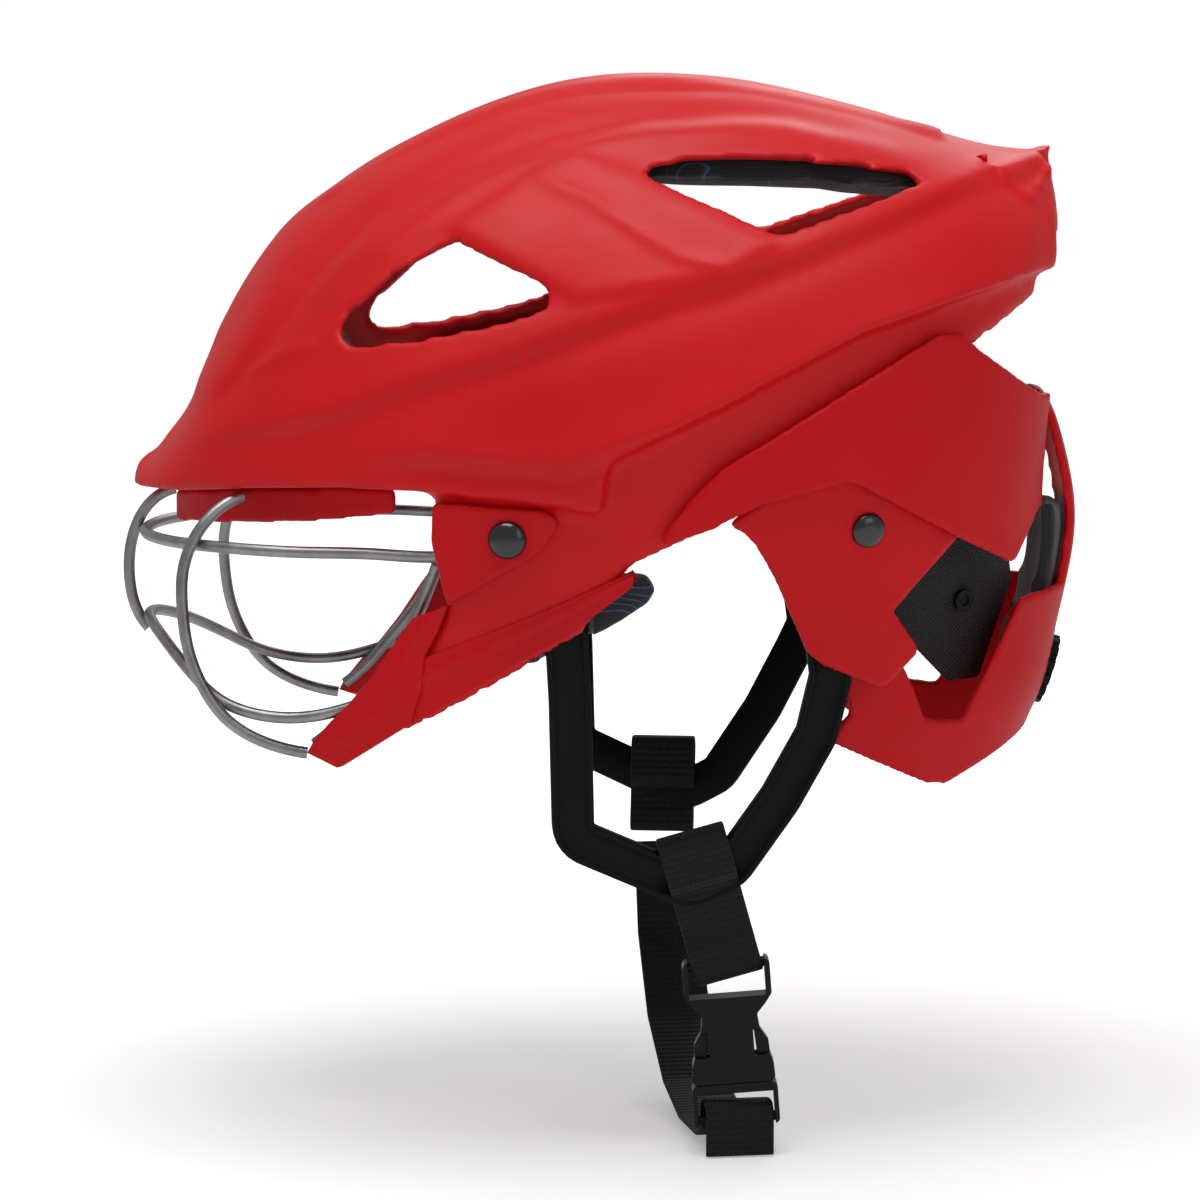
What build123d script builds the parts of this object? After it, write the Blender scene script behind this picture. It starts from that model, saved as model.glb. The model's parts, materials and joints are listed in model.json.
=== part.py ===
from build123d import *
import math
import os

# Lacrosse helmet with a wire face cage, an adjustable rear cradle and a buckled chin strap.
# Front of the helmet towards -X, wearer's left towards -Y, up +Z. Millimetres.
# The origin is on the middle plane at the height of the ear canals.

# Overall sizes
helmet_length = 260.0
crown_height = 150.0
helmet_width = 192.0

# Shell walls and how deep each layer lies under the outer form
shell_wall = 3.0
panel_rise = 1.5
fin_rise = 4.5
fin_inner_half = 20.0
fin_outer_half = 46.0
cheek_inset = 4.8
brim_lip = 9.0
brim_lip_height = 3.0
rear_shell_inset = 0.6
rear_shell_wall = 2.6
ear_guard_inset = 3.9
ear_guard_wall = 2.6
bracket_inset = 2.2
bracket_wall = 2.3
jaw_guard_inset = 3.4
jaw_guard_wall = 6.0
carrier_inset = 9.4
carrier_wall = 2.0
seam_gap = 0.3
corner_radius = 1.5
vent_corner_radius = 4.0
spine_half_width = 15.0
back_opening_half_width = 22.0

# Cradle
cradle_wall = 2.6
cradle_travel = 6.0
carrier_half_gap = 26.0
post_radius = 3.0
post_start = 2.5
post_length = 10.6
pin_radius = 3.2
pin_height = 1.2
slot_clearance = 0.4

# Fit dial, pinion and racks, measured inwards from the cradle's back along the dial's axis
dial_radius = 10.0
dial_depth = 6.0
dial_proud = 1.2
dial_gap = 0.8
dial_grips = 14
dial_grip_radius = 1.0
dial_shaft_radius = 2.5
flank_steps = 4
shaft_gap = 0.05
gear_module = 0.9
pinion_teeth = 12
pressure_angle = 25.0
tooth_backlash = 0.24
addendum_share = 0.8
dedendum_share = 1.05
rack_depth = 3.0
rack_back = 2.2
rack_length = 24.0
rack_overlap = 6.0
housing_length = 38.0
housing_wall = 1.4
housing_seat = 7.0
housing_depth = 6.1
boss_spacing = 28.0
boss_radius = 2.5
running_gap = 0.15

# Cage wires
wire_radius = 1.6
wire_pocket_gap = 0.15
eye_radius = 5.5

# Fasteners
screw_head_radius = 5.1
screw_head_height = 2.6
screw_radius = 2.5
screw_length = 13.0
rivet_head_radius = 4.7
rivet_head_height = 2.2
rivet_radius = 2.4
rivet_length = 17.0
rivet_foot_height = 2.0
hole_gap = 0.1
cheek_hole_gap = 1.1
bracket_hole_gap = 0.6
nut_radius = 5.5
nut_height = 3.0

# Liner
liner_gap = 0.4
crown_liner_thickness = 10.0
side_liner_thickness = 9.0
brow_pad_inset = 13.5
brow_pad_thickness = 10.0
cheek_pad_inset = 8.2
cheek_pad_thickness = 14.0
nape_pad_thickness = 6.0
nape_pad_half_width = 20.0
brow_rail_inset = 9.4
brow_rail_wall = 2.4

# Chin strap: two rubber yokes, webbing and a side release buckle
yoke_width = 11.5
yoke_thickness = 3.6
yoke_bend_radius = 7.0
yoke_rise = 9.0
webbing_width = 19.0
webbing_thickness = 1.6
webbing_gap = 0.55
buckle_width = 24.0
buckle_length = 46.0
buckle_thickness = 8.0
buckle_tilt = 4.4
buckle_wall = 1.5
buckle_bar_radius = 1.4
prong_width = 2.2
prong_thickness = 4.2
stud_radius = 4.5
stud_height = 2.6
stud_shank_radius = 2.2
stud_reach = 0.5
webbing_bend_radius = 3.2
bar_reach_share = 0.44

# Outer form of the crown, from the brim tip to the back wall:
# place along the length, height of the ridge line, height of the widest point, how far the foot draws in.
crown_station_shares = [
    (-0.505, 0.226, 0.205, 1.00),
    (-0.480, 0.296, 0.220, 1.00),
    (-0.443, 0.386, 0.232, 1.00),
    (-0.410, 0.524, 0.245, 1.00),
    (-0.353, 0.687, 0.262, 1.00),
    (-0.280, 0.795, 0.282, 1.00),
    (-0.178, 0.896, 0.303, 0.99),
    (-0.040, 0.980, 0.315, 0.94),
    (0.115, 0.990, 0.380, 0.87),
    (0.280, 0.932, 0.490, 0.87),
    (0.404, 0.866, 0.575, 0.88),
    (0.477, 0.835, 0.610, 0.88),
]
skirt_height_share = -0.350
least_rise = 2.0

# Plan of the helmet: an oval, round at the front and squarer at the back
front_reach_share = -0.508
rear_reach_share = 0.500
widest_share = 0.038
front_power = 2.0
rear_power = 2.4
section_steps = 6
quarter_steps = 4

# Side walls below the crown: height, half width, rear reach
wall_level_shares = [
    (-0.400, 0.750, 0.430),
    (-0.180, 0.850, 0.467),
    (0.040, 0.935, 0.481),
    (0.280, 0.995, 0.485),
    (0.480, 0.995, 0.497),
    (0.680, 0.990, 0.507),
]

# The cradle is narrower at the sides and stands out at the back
cradle_level_shares = [
    (-0.360, 0.650, 0.435),
    (-0.267, 0.700, 0.458),
    (-0.200, 0.731, 0.473),
    (-0.133, 0.752, 0.488),
    (-0.067, 0.773, 0.496),
    (0.000, 0.793, 0.504),
    (0.067, 0.809, 0.512),
    (0.160, 0.825, 0.518),
    (0.267, 0.835, 0.510),
    (0.333, 0.835, 0.500),
    (0.413, 0.825, 0.475),
]
cradle_power = 2.1

# Side view outlines, as shares of the length and the crown height
lower_edge_shares = [
    (-0.520, 0.222), (-0.432, 0.232), (-0.363, 0.244), (-0.266, 0.253), (-0.173, 0.249),
    (-0.061, 0.229), (0.000, 0.212), (0.008, 0.300), (0.121, 0.397), (0.263, 0.525),
    (0.369, 0.586), (0.449, 0.627), (0.540, 0.640),
]
cheek_shares = [
    (-0.171, 0.290), (-0.171, 0.165), (-0.156, 0.042), (-0.180, -0.050), (-0.191, -0.115),
    (-0.212, -0.193), (-0.124, -0.111), (-0.020, -0.003), (0.030, 0.118), (0.120, 0.190),
    (0.135, 0.245), (0.185, 0.310), (0.263, 0.385), (0.347, 0.465), (0.392, 0.510), (0.436, 0.562),
    (0.470, 0.600), (0.470, 0.645), (0.449, 0.650), (0.369, 0.606), (0.263, 0.545), (0.121, 0.420),
    (0.010, 0.330), (-0.050, 0.290),
]
jaw_guard_shares = [
    (-0.157, 0.040), (-0.190, 0.020), (-0.243, -0.119), (-0.301, -0.221), (-0.300, -0.243),
    (-0.275, -0.258), (-0.214, -0.197), (-0.193, -0.115), (-0.182, -0.050),
]
bracket_shares = [
    (-0.170, 0.229), (-0.056, 0.217), (-0.043, 0.201), (-0.045, 0.184), (-0.061, 0.142),
    (-0.156, 0.047), (-0.172, 0.162),
]
front_vent_shares = [
    (-0.286, 0.501), (-0.252, 0.565), (-0.205, 0.636), (-0.148, 0.686), (-0.025, 0.586),
    (-0.101, 0.542), (-0.204, 0.507),
]
rear_vent_shares = [
    (0.033, 0.810), (0.082, 0.825), (0.155, 0.831), (0.247, 0.822), (0.325, 0.801),
    (0.338, 0.786), (0.287, 0.756), (0.183, 0.695),
]
flank_shares = [
    (-0.360, 0.334), (-0.203, 0.429), (-0.025, 0.525), (0.142, 0.629), (0.183, 0.681),
    (0.334, 0.778), (0.430, 0.840), (0.500, 0.860), (0.500, 0.650), (0.449, 0.660),
    (0.369, 0.606), (0.263, 0.545), (0.121, 0.417), (0.010, 0.325), (-0.055, 0.323),
    (-0.172, 0.316),
]
bridge_shares = [
    (-0.148, 0.700), (-0.066, 0.790), (0.010, 0.820), (0.033, 0.810), (0.183, 0.695), (0.142, 0.650),
    (-0.025, 0.586),
]
centre_band_shares = [
    (-0.420, 0.380), (-0.300, 0.560), (-0.150, 0.780), (0.000, 0.870), (0.120, 0.875),
    (0.320, 0.830), (0.420, 0.850), (0.420, 1.100), (-0.420, 1.100),
]
fin_shares = [
    (0.395, 0.862), (0.440, 0.856), (0.487, 0.868), (0.490, 0.845), (0.479, 0.793), (0.470, 0.760),
]
rear_shell_shares = [
    (0.051, 0.147), (0.100, 0.253), (0.123, 0.291), (0.162, 0.331), (0.263, 0.437), (0.347, 0.523),
    (0.375, 0.522), (0.388, 0.496), (0.444, 0.428), (0.468, 0.403), (0.540, 0.390), (0.540, 0.188),
    (0.466, 0.188), (0.435, 0.099), (0.364, 0.164), (0.256, 0.267), (0.163, 0.226), (0.125, 0.197),
    (0.118, 0.188),
]
ear_guard_shares = [
    (0.128, 0.192), (0.190, 0.262), (0.256, 0.325), (0.354, 0.262), (0.373, 0.160), (0.302, 0.028),
    (0.332, -0.048), (0.294, -0.115), (0.229, -0.066), (0.213, -0.043), (0.178, 0.096),
    (0.158, 0.156), (0.146, 0.177),
]
carrier_shares = [
    (0.225, 0.250), (0.420, 0.262), (0.440, 0.060), (0.405, -0.122), (0.369, -0.124), (0.310, -0.015),
    (0.250, 0.060),
]
cradle_frame_shares = [
    (0.446, 0.031), (0.560, 0.060), (0.560, -0.233), (0.461, -0.233), (0.429, -0.262), (0.368, -0.314),
    (0.346, -0.309), (0.239, -0.216), (0.254, -0.174), (0.383, -0.191), (0.434, -0.009),
]
cradle_wing_shares = [
    (0.262, -0.210), (0.250, 0.000), (0.240, 0.180), (0.262, 0.230), (0.315, 0.210),
    (0.305, 0.060), (0.300, -0.020), (0.330, -0.130), (0.345, -0.200),
]
spine_shares = [
    (0.470, 0.410), (0.560, 0.385), (0.560, 0.030), (0.460, 0.030),
]
cheek_pad_shares = [
    (-0.130, 0.060), (-0.115, -0.020), (-0.091, -0.056), (-0.077, -0.074), (-0.041, -0.053),
    (0.019, 0.006), (0.056, 0.048), (0.061, 0.075), (0.050, 0.105), (-0.115, 0.105),
]
nape_pad_shares = [
    (0.420, 0.200), (0.560, 0.200), (0.560, -0.035), (0.420, -0.035),
]
crown_liner_shares = [
    (-0.330, 0.600), (-0.205, 0.660), (-0.148, 0.712), (-0.030, 0.740), (0.020, 0.800), (0.060, 0.785),
    (0.155, 0.782), (0.247, 0.775), (0.325, 0.760), (0.400, 0.740), (0.400, 1.100), (-0.330, 1.100),
]
side_liner_shares = [
    (-0.200, 0.310), (-0.200, 0.470), (-0.020, 0.535), (0.120, 0.590), (0.200, 0.640), (0.330, 0.700),
    (0.330, 0.625), (0.263, 0.575), (0.121, 0.450), (0.010, 0.360), (-0.050, 0.310),
]
brow_pad_shares = [
    (-0.435, 0.180), (-0.435, 0.500), (-0.300, 0.560), (-0.250, 0.400), (-0.230, 0.180),
]
brow_rail_shares = [
    (-0.455, 0.165), (-0.455, 0.222), (-0.432, 0.228), (-0.363, 0.240), (-0.266, 0.249), (-0.210, 0.248),
    (-0.210, 0.205), (-0.300, 0.185),
]

# Places of fasteners and the dial in side view
screw_place_share = (-0.094, 0.166)
rivet_place_share = (0.274, 0.178)
dial_place_share = (0.474, -0.130)
dial_lean = 17.8
pin_place_share = (0.383, 0.029)
post_place_share = (0.400, 0.225)
front_stud_share = (-0.039, 0.130)
rear_stud_share = (0.234, -0.040)

# Cage wires on the left or on the middle plane: length, side and height shares
top_bar_shares = [
    (-0.1577, 0.8125, 0.1300), (-0.2308, 0.7844, 0.1320), (-0.3077, 0.7500, 0.1333),
    (-0.3769, 0.6979, 0.1373), (-0.4250, 0.6094, 0.1400), (-0.4590, 0.4635, 0.1400),
    (-0.4855, 0.2500, 0.1400), (-0.4946, 0.0000, 0.1400),
]
lower_bar_shares = [
    (-0.1923, 0.7677, -0.0980), (-0.2308, 0.7677, -0.1267), (-0.2754, 0.7604, -0.1533),
    (-0.3231, 0.7438, -0.1650), (-0.3885, 0.6855, -0.1440), (-0.4205, 0.5850, -0.1107),
    (-0.4662, 0.3229, -0.0507), (-0.4923, 0.0000, -0.0220),
]
centre_wire_shares = [
    (-0.4646, 0.0000, 0.2133), (-0.4915, 0.0000, 0.1867), (-0.5112, 0.0000, 0.1233),
    (-0.5154, 0.0000, 0.0467), (-0.5058, 0.0000, -0.0240), (-0.4946, 0.0000, -0.0520),
]
side_wire_shares = [
    (-0.3731, 0.5938, 0.2267), (-0.4019, 0.6333, 0.1967), (-0.4231, 0.6604, 0.1467),
    (-0.4327, 0.6771, 0.0933), (-0.4331, 0.6875, 0.0267), (-0.4269, 0.6979, -0.0467),
    (-0.4096, 0.7042, -0.1200), (-0.3885, 0.7115, -0.1687), (-0.3500, 0.7177, -0.2100),
    (-0.3038, 0.7188, -0.2307),
]
frame_wire_shares = [
    (-0.1673, 0.7865, 0.1133), (-0.1885, 0.7531, 0.0200), (-0.2115, 0.7396, -0.0533),
    (-0.2423, 0.7313, -0.1200), (-0.2769, 0.7250, -0.1867), (-0.2962, 0.7229, -0.2140),
]

# Chin strap: the plane of a yoke through three places, its path in side view, and the webbing
yoke_plane_shares = [(-0.035, 0.807, 0.000), (0.238, 0.722, -0.067), (0.077, 0.625, -0.467)]
yoke_path_shares = [
    (-0.041, 0.168), (-0.035, 0.000), (-0.031, -0.133), (-0.028, -0.390), (0.096, -0.487),
    (0.137, -0.450), (0.188, -0.320), (0.225, -0.200), (0.239, -0.090), (0.233, -0.010),
]
left_loop_shares = [(0.0970, -0.403), (0.1345, -0.648)]
right_loop_shares = [(0.0735, -0.341), (0.0715, -0.500)]
right_webbing_shares = [
    (1.179, -0.523), (1.115, -0.700), (0.937, -0.847), (0.667, -0.940), (0.401, -0.973), (0.141, -0.967),
    (0.045, -0.943), (0.045, -0.891), (-0.045, -0.891), (-0.045, -0.985),
]
webbing_turn = 9.2
buckle_place_share = (0.139, -0.557, -0.778)
female_shares = [
    (-0.50, 0.500), (-0.50, 0.290), (-0.42, 0.232), (-0.315, 0.172), (-0.340, 0.065), (-0.465, -0.129),
    (-0.475, -0.241), (0.475, -0.241), (0.465, -0.129), (0.340, 0.065), (0.315, 0.172), (0.42, 0.232),
    (0.50, 0.290), (0.50, 0.500),
]
cavity_shares = [
    (-0.410, -0.260), (-0.400, -0.090), (-0.278, 0.065), (-0.250, 0.140), (0.250, 0.140), (0.278, 0.065),
    (0.400, -0.090), (0.410, -0.260),
]
window_shares = [(0.255, 0.075), (0.600, 0.075), (0.600, -0.080), (0.255, -0.080)]
female_slot_shares = [(-0.440, 0.280), (0.440, 0.280), (0.440, 0.430), (-0.440, 0.430)]
male_shares = [(-0.490, -0.247), (-0.490, -0.500), (0.490, -0.500), (0.490, -0.247)]
male_slot_shares = [(-0.440, -0.300), (0.440, -0.300), (0.440, -0.430), (-0.440, -0.430)]
tongue_shares = [(-0.104, -0.260), (0.104, -0.260), (0.104, 0.120), (-0.104, 0.120)]
prong_shares = [
    (0.283, -0.225), (0.375, -0.225), (0.375, -0.072), (0.433, -0.070), (0.425, 0.000), (0.345, 0.068),
    (0.265, 0.068), (0.283, -0.060),
]
prong_pivot_share = (0.329, -0.222)

side_cut = helmet_width
wide_cut = 2 * helmet_width


def half_width_at(x, inset):
    """Half width of the plan oval at a place along the length."""
    if x < widest_share * helmet_length:
        reach, power = widest_share - front_reach_share, front_power
    else:
        reach, power = rear_reach_share - widest_share, rear_power
    reach = reach * helmet_length - inset
    along = abs(x - widest_share * helmet_length) / reach
    return (helmet_width / 2 - inset) * (1 - along**power) ** (1 / power)


def dome_sections(inset):
    """Crosswise sections of the crown's left half: a quarter ellipse over a side that draws in downwards."""
    sections = []
    shrink = (helmet_length / 2 - inset) / (helmet_length / 2)
    for x_share, top_share, middle_share, foot_share in crown_station_shares:
        x = x_share * helmet_length * shrink
        width = half_width_at(x, inset)
        middle = middle_share * crown_height
        rise = max(top_share * crown_height - inset - middle, least_rise)
        skirt = skirt_height_share * crown_height
        tuck = foot_share * width
        turns = [math.pi / 2 * step / quarter_steps for step in range(quarter_steps + 1)]
        over = [(-width * math.cos(turn), middle + rise * math.sin(turn)) for turn in turns]
        with BuildSketch(Plane.YZ.offset(x)) as section:
            with BuildLine():
                Spline(*over, tangents=((0, 1), (1, 0)))
                Polyline(over[-1], (0, skirt), (-tuck, skirt), over[0])
            make_face()
        sections.append(section.sketch)
    return sections


def oval_sections(level_shares, power_behind, inset):
    """Level sections of the side walls: two half ovals that meet at the widest point."""
    sections = []
    widest = widest_share * helmet_length
    front = front_reach_share * helmet_length + inset
    for height_share, width_share, rear_share in level_shares:
        rear = rear_share * helmet_length - inset
        width = width_share * helmet_width / 2 - inset
        with BuildSketch(Plane.XY.offset(height_share * crown_height)) as section:
            with BuildLine():
                for side in (-1, 1):
                    edge_points = []
                    for step in range(section_steps + 1):
                        turn = math.pi * step / section_steps
                        reach, power = (rear - widest, power_behind)
                        if math.cos(turn) < 0:
                            reach, power = (widest - front, front_power)
                        along = math.copysign(abs(math.cos(turn)) ** (2 / power), math.cos(turn))
                        across = abs(math.sin(turn)) ** (2 / power)
                        edge_points.append((widest + reach * along, side * width * across))
                    Spline(*edge_points, tangents=((0, side), (0, -side)))
            make_face()
        sections.append(section.sketch)
    return sections


def side_face(point_shares, radius=corner_radius):
    """Closed outline in side view with rounded corners."""
    points = [(x * helmet_length, z * crown_height) for x, z in point_shares]
    with BuildSketch(Plane.XZ) as face:
        with BuildLine():
            FilletPolyline(*points, radius=radius, close=True)
        make_face()
    return face.sketch


def zone_above(edge_shares, lift):
    """Everything above a line in side view, raised by a lift."""
    line = [(x * helmet_length, z * crown_height + lift) for x, z in edge_shares]
    top = 2 * crown_height
    with BuildSketch(Plane.XZ) as face:
        with BuildLine():
            Polyline(*line, (line[-1][0], top), (line[0][0], top), close=True)
        make_face()
    return face.sketch


def strip_above(edge_shares, height):
    """A strip of even height along a line in side view."""
    line = [(x * helmet_length, z * crown_height) for x, z in edge_shares]
    raised = [(x, z + height) for x, z in reversed(line)]
    with BuildSketch(Plane.XZ) as face:
        with BuildLine():
            Polyline(*line, *raised, close=True)
        make_face()
    return face.sketch


def place(share):
    return (share[0] * helmet_length, share[1] * crown_height)


def disc(share, radius):
    """Round outline in side view."""
    with BuildSketch(Plane.XZ) as face:
        with Locations(place(share)):
            Circle(radius)
    return face.sketch


def dome_layer(inset, thickness):
    """The left half of a layer of even thickness that follows the crown's form."""
    with BuildPart() as layer:
        loft(sections=dome_sections(inset))
        loft(sections=dome_sections(inset + thickness), mode=Mode.SUBTRACT)
    return layer.part


def both_sides(half):
    """A left half and its mirror image, joined on the middle plane."""
    with BuildPart() as whole:
        add(half)
        add(mirror(half, about=Plane.XZ))
    return whole.part


def oval_layer(level_shares, power_behind, inset, thickness):
    """A layer of even thickness that follows the side walls or the cradle."""
    with BuildPart() as layer:
        loft(sections=oval_sections(level_shares, power_behind, inset))
        loft(sections=oval_sections(level_shares, power_behind, inset + thickness), mode=Mode.SUBTRACT)
    return layer.part


def seat_on(body, share, hit):
    """Plane on a body's left side at a place in side view; hit 0 is the inner face, -1 the outer."""
    x, z = place(share)
    point, normal = body.find_intersection_points(Axis((x, 0, z), (0, -1, 0)))[hit]
    outward = normal if normal.Y < 0 else -normal
    return Plane(origin=point, x_dir=(1, 0, 0), z_dir=outward)


def peg(seat, radius, start, height):
    """Round peg along a seat's normal, from a start height to a start height plus its own height."""
    with BuildPart() as body:
        with BuildSketch(seat.offset(start)):
            Circle(radius)
        extrude(amount=height)
    return body.part


def wire_points(wire_shares):
    return [(x * helmet_length, -y * helmet_width / 2, z * crown_height) for x, y, z in wire_shares]


def wire(points, radius):
    """Round rod along a smooth line through points."""
    with BuildPart() as rod:
        with BuildLine() as path:
            Spline(*points)
        with BuildSketch(Plane(origin=path.line @ 0, z_dir=path.line % 0)):
            Circle(radius)
        sweep()
    return rod.part


def with_other_side(points):
    """A line from the left to the middle plane, carried on to the right."""
    return points + [(x, -y, z) for x, y, z in reversed(points[:-1])]


# Crown shell: the skin, its raised panels, the lip under its edge, the cheeks, the fins and the vents
with BuildPart() as raised_panels:
    add(dome_layer(-panel_rise, panel_rise + shell_wall / 2))
    with BuildPart(mode=Mode.PRIVATE) as raised_zone:
        extrude(side_face(flank_shares), amount=side_cut, both=True)
        extrude(side_face(bridge_shares), amount=side_cut, both=True)
        extrude(side_face(centre_band_shares), amount=side_cut, both=True)
    add(raised_zone.part, mode=Mode.INTERSECT)

with BuildPart() as edge_lip:
    add(dome_layer(shell_wall / 4, brim_lip - shell_wall / 4))
    extrude(strip_above(lower_edge_shares, brim_lip_height), amount=side_cut, both=True, mode=Mode.INTERSECT)

with BuildPart() as cheeks:
    add(dome_layer(cheek_inset, shell_wall))
    extrude(side_face(cheek_shares), amount=side_cut, both=True, mode=Mode.INTERSECT)
    extrude(disc(screw_place_share, screw_radius + cheek_hole_gap), amount=side_cut, both=True, mode=Mode.SUBTRACT)

with BuildPart() as fins:
    add(dome_layer(-fin_rise, fin_rise + shell_wall / 3))
    extrude(side_face(fin_shares, corner_radius / 2), amount=fin_outer_half, both=True, mode=Mode.INTERSECT)
    extrude(side_face(flank_shares), amount=fin_inner_half, both=True, mode=Mode.SUBTRACT)

with BuildPart() as crown_half:
    add(dome_layer(0, shell_wall))
    extrude(zone_above(lower_edge_shares, 0), amount=side_cut, both=True, mode=Mode.INTERSECT)
    add(raised_panels.part)
    add(edge_lip.part)
    add(cheeks.part)
    add(fins.part)
    extrude(side_face(front_vent_shares, vent_corner_radius), amount=side_cut, both=True, mode=Mode.SUBTRACT)
    extrude(side_face(rear_vent_shares, corner_radius), amount=side_cut, both=True, mode=Mode.SUBTRACT)
with BuildPart() as crown_shell:
    add(both_sides(crown_half.part))

# Rear shell halves, with the opening for the cradle's spine between them
with BuildPart() as rear_shell_left:
    add(oval_layer(wall_level_shares, rear_power, rear_shell_inset, rear_shell_wall))
    extrude(side_face(rear_shell_shares), amount=side_cut, mode=Mode.INTERSECT)
    with BuildSketch(Plane.YZ):
        Rectangle(2 * back_opening_half_width, 2 * crown_height)
    extrude(amount=helmet_length, mode=Mode.SUBTRACT)

# Ear guards
with BuildPart() as ear_guard_left:
    add(oval_layer(wall_level_shares, rear_power, ear_guard_inset, ear_guard_wall))
    extrude(side_face(ear_guard_shares), amount=side_cut, mode=Mode.INTERSECT)
    rivet_seat = seat_on(ear_guard_left.part, rivet_place_share, -1)
    add(peg(rivet_seat, rivet_radius + hole_gap, -rivet_length, 2 * rivet_length), mode=Mode.SUBTRACT)

# Cage brackets
with BuildPart() as cage_bracket_left:
    add(dome_layer(bracket_inset, bracket_wall))
    extrude(side_face(bracket_shares), amount=side_cut, mode=Mode.INTERSECT)
    screw_seat = seat_on(cage_bracket_left.part, screw_place_share, -1)
    extrude(disc(screw_place_share, screw_radius + bracket_hole_gap), amount=side_cut, mode=Mode.SUBTRACT)

# Cage wires, with eyes under the cage screws
eye_depth = cheek_inset + shell_wall - bracket_inset + seam_gap
eye_seat = screw_seat.offset(-eye_depth - wire_radius)
top_line = wire_points(top_bar_shares)
eye_to_bar = Vector(*top_line[0]) - eye_seat.origin
eye_edge = eye_seat.origin + eye_to_bar.normalized() * (eye_radius + wire_radius / 2 + hole_gap)
top_line = [tuple(eye_edge)] + top_line

with BuildPart() as eye_left:
    add(peg(eye_seat, eye_radius, -wire_radius, 2 * wire_radius))
    add(peg(eye_seat, screw_radius + hole_gap, -2 * wire_radius, 4 * wire_radius), mode=Mode.SUBTRACT)
with BuildPart() as cage_eyes:
    add(eye_left.part)
    add(mirror(eye_left.part, about=Plane.XZ))

with BuildPart() as cage_top_bar:
    add(wire(with_other_side(top_line), wire_radius))

with BuildPart() as cage_lower_bar:
    add(wire(with_other_side(wire_points(lower_bar_shares)), wire_radius))

with BuildPart() as cage_centre_wire:
    add(wire(wire_points(centre_wire_shares), wire_radius))

with BuildPart() as cage_side_wire_left:
    add(wire(wire_points(side_wire_shares), wire_radius))

with BuildPart() as cage_frame_wire_left:
    add(wire(wire_points(frame_wire_shares), wire_radius))

# Jaw guards, with pockets for the wires
pocket_radius = wire_radius + wire_pocket_gap
with BuildPart() as jaw_guard_left:
    add(dome_layer(jaw_guard_inset, jaw_guard_wall))
    extrude(side_face(jaw_guard_shares), amount=side_cut, mode=Mode.INTERSECT)
    add(wire(wire_points(side_wire_shares), pocket_radius), mode=Mode.SUBTRACT)
    add(wire(wire_points(frame_wire_shares), pocket_radius), mode=Mode.SUBTRACT)
    add(wire(wire_points(lower_bar_shares), pocket_radius), mode=Mode.SUBTRACT)

# Rail under the brim
with BuildPart() as rail_half:
    add(dome_layer(brow_rail_inset, brow_rail_wall))
    extrude(side_face(brow_rail_shares), amount=side_cut, both=True, mode=Mode.INTERSECT)
with BuildPart() as brow_rail:
    add(both_sides(rail_half.part))
    add(wire(wire_points(centre_wire_shares), pocket_radius), mode=Mode.SUBTRACT)

# Fasteners on both sides
with BuildPart() as screw_left:
    add(peg(screw_seat, screw_head_radius, hole_gap / 2, screw_head_height))
    add(peg(screw_seat, screw_radius, -screw_length, screw_length + hole_gap))
with BuildPart() as cage_screws:
    add(screw_left.part)
    add(mirror(screw_left.part, about=Plane.XZ))

nut_start = eye_depth + 2 * wire_radius + hole_gap
with BuildPart() as nut_left:
    add(peg(screw_seat, nut_radius, -nut_start - nut_height, nut_height))
    add(peg(screw_seat, screw_radius, -nut_start - 2 * nut_height, 4 * nut_height), mode=Mode.SUBTRACT)
with BuildPart() as cage_nuts:
    add(nut_left.part)
    add(mirror(nut_left.part, about=Plane.XZ))

with BuildPart() as rivet_left:
    add(peg(rivet_seat, rivet_head_radius, hole_gap / 2, rivet_head_height))
    add(peg(rivet_seat, rivet_radius, -rivet_length, rivet_length + hole_gap))
    add(peg(rivet_seat, rivet_head_radius, -rivet_length, rivet_foot_height))
with BuildPart() as ear_rivets:
    add(rivet_left.part)
    add(mirror(rivet_left.part, about=Plane.XZ))

# Rear cradle: frame, wings to the rivets, spine, and the opening for the dial
with BuildPart() as rear_cradle:
    add(oval_layer(cradle_level_shares, cradle_power, 0, cradle_wall))
    with BuildPart(mode=Mode.PRIVATE) as cradle_zone:
        extrude(side_face(cradle_frame_shares), amount=side_cut, both=True)
        extrude(side_face(cradle_wing_shares), amount=side_cut, both=True)
        extrude(side_face(spine_shares), amount=spine_half_width, both=True)
    add(cradle_zone.part, mode=Mode.INTERSECT)
    dial_hits = rear_cradle.part.find_intersection_points(
        Axis((0, 0, dial_place_share[1] * crown_height), (1, 0, 0)))
    with BuildPart(mode=Mode.PRIVATE) as rivet_slot:
        with BuildSketch(rivet_seat):
            SlotCenterPoint((cradle_travel / 2, 0), (cradle_travel + slot_clearance, 0),
                            2 * (rivet_radius + slot_clearance))
        extrude(amount=-2 * rivet_length)
    add(rivet_slot.part, mode=Mode.SUBTRACT)
    add(mirror(rivet_slot.part, about=Plane.XZ), mode=Mode.SUBTRACT)
    dial_tilt = math.radians(dial_lean)
    dial_plane = Plane(origin=dial_hits[-1][0], x_dir=(0, 1, 0), z_dir=(math.cos(dial_tilt), 0, -math.sin(dial_tilt)))
    add(peg(dial_plane, dial_radius + dial_gap, -2 * cradle_wall, 4 * cradle_wall), mode=Mode.SUBTRACT)

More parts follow.
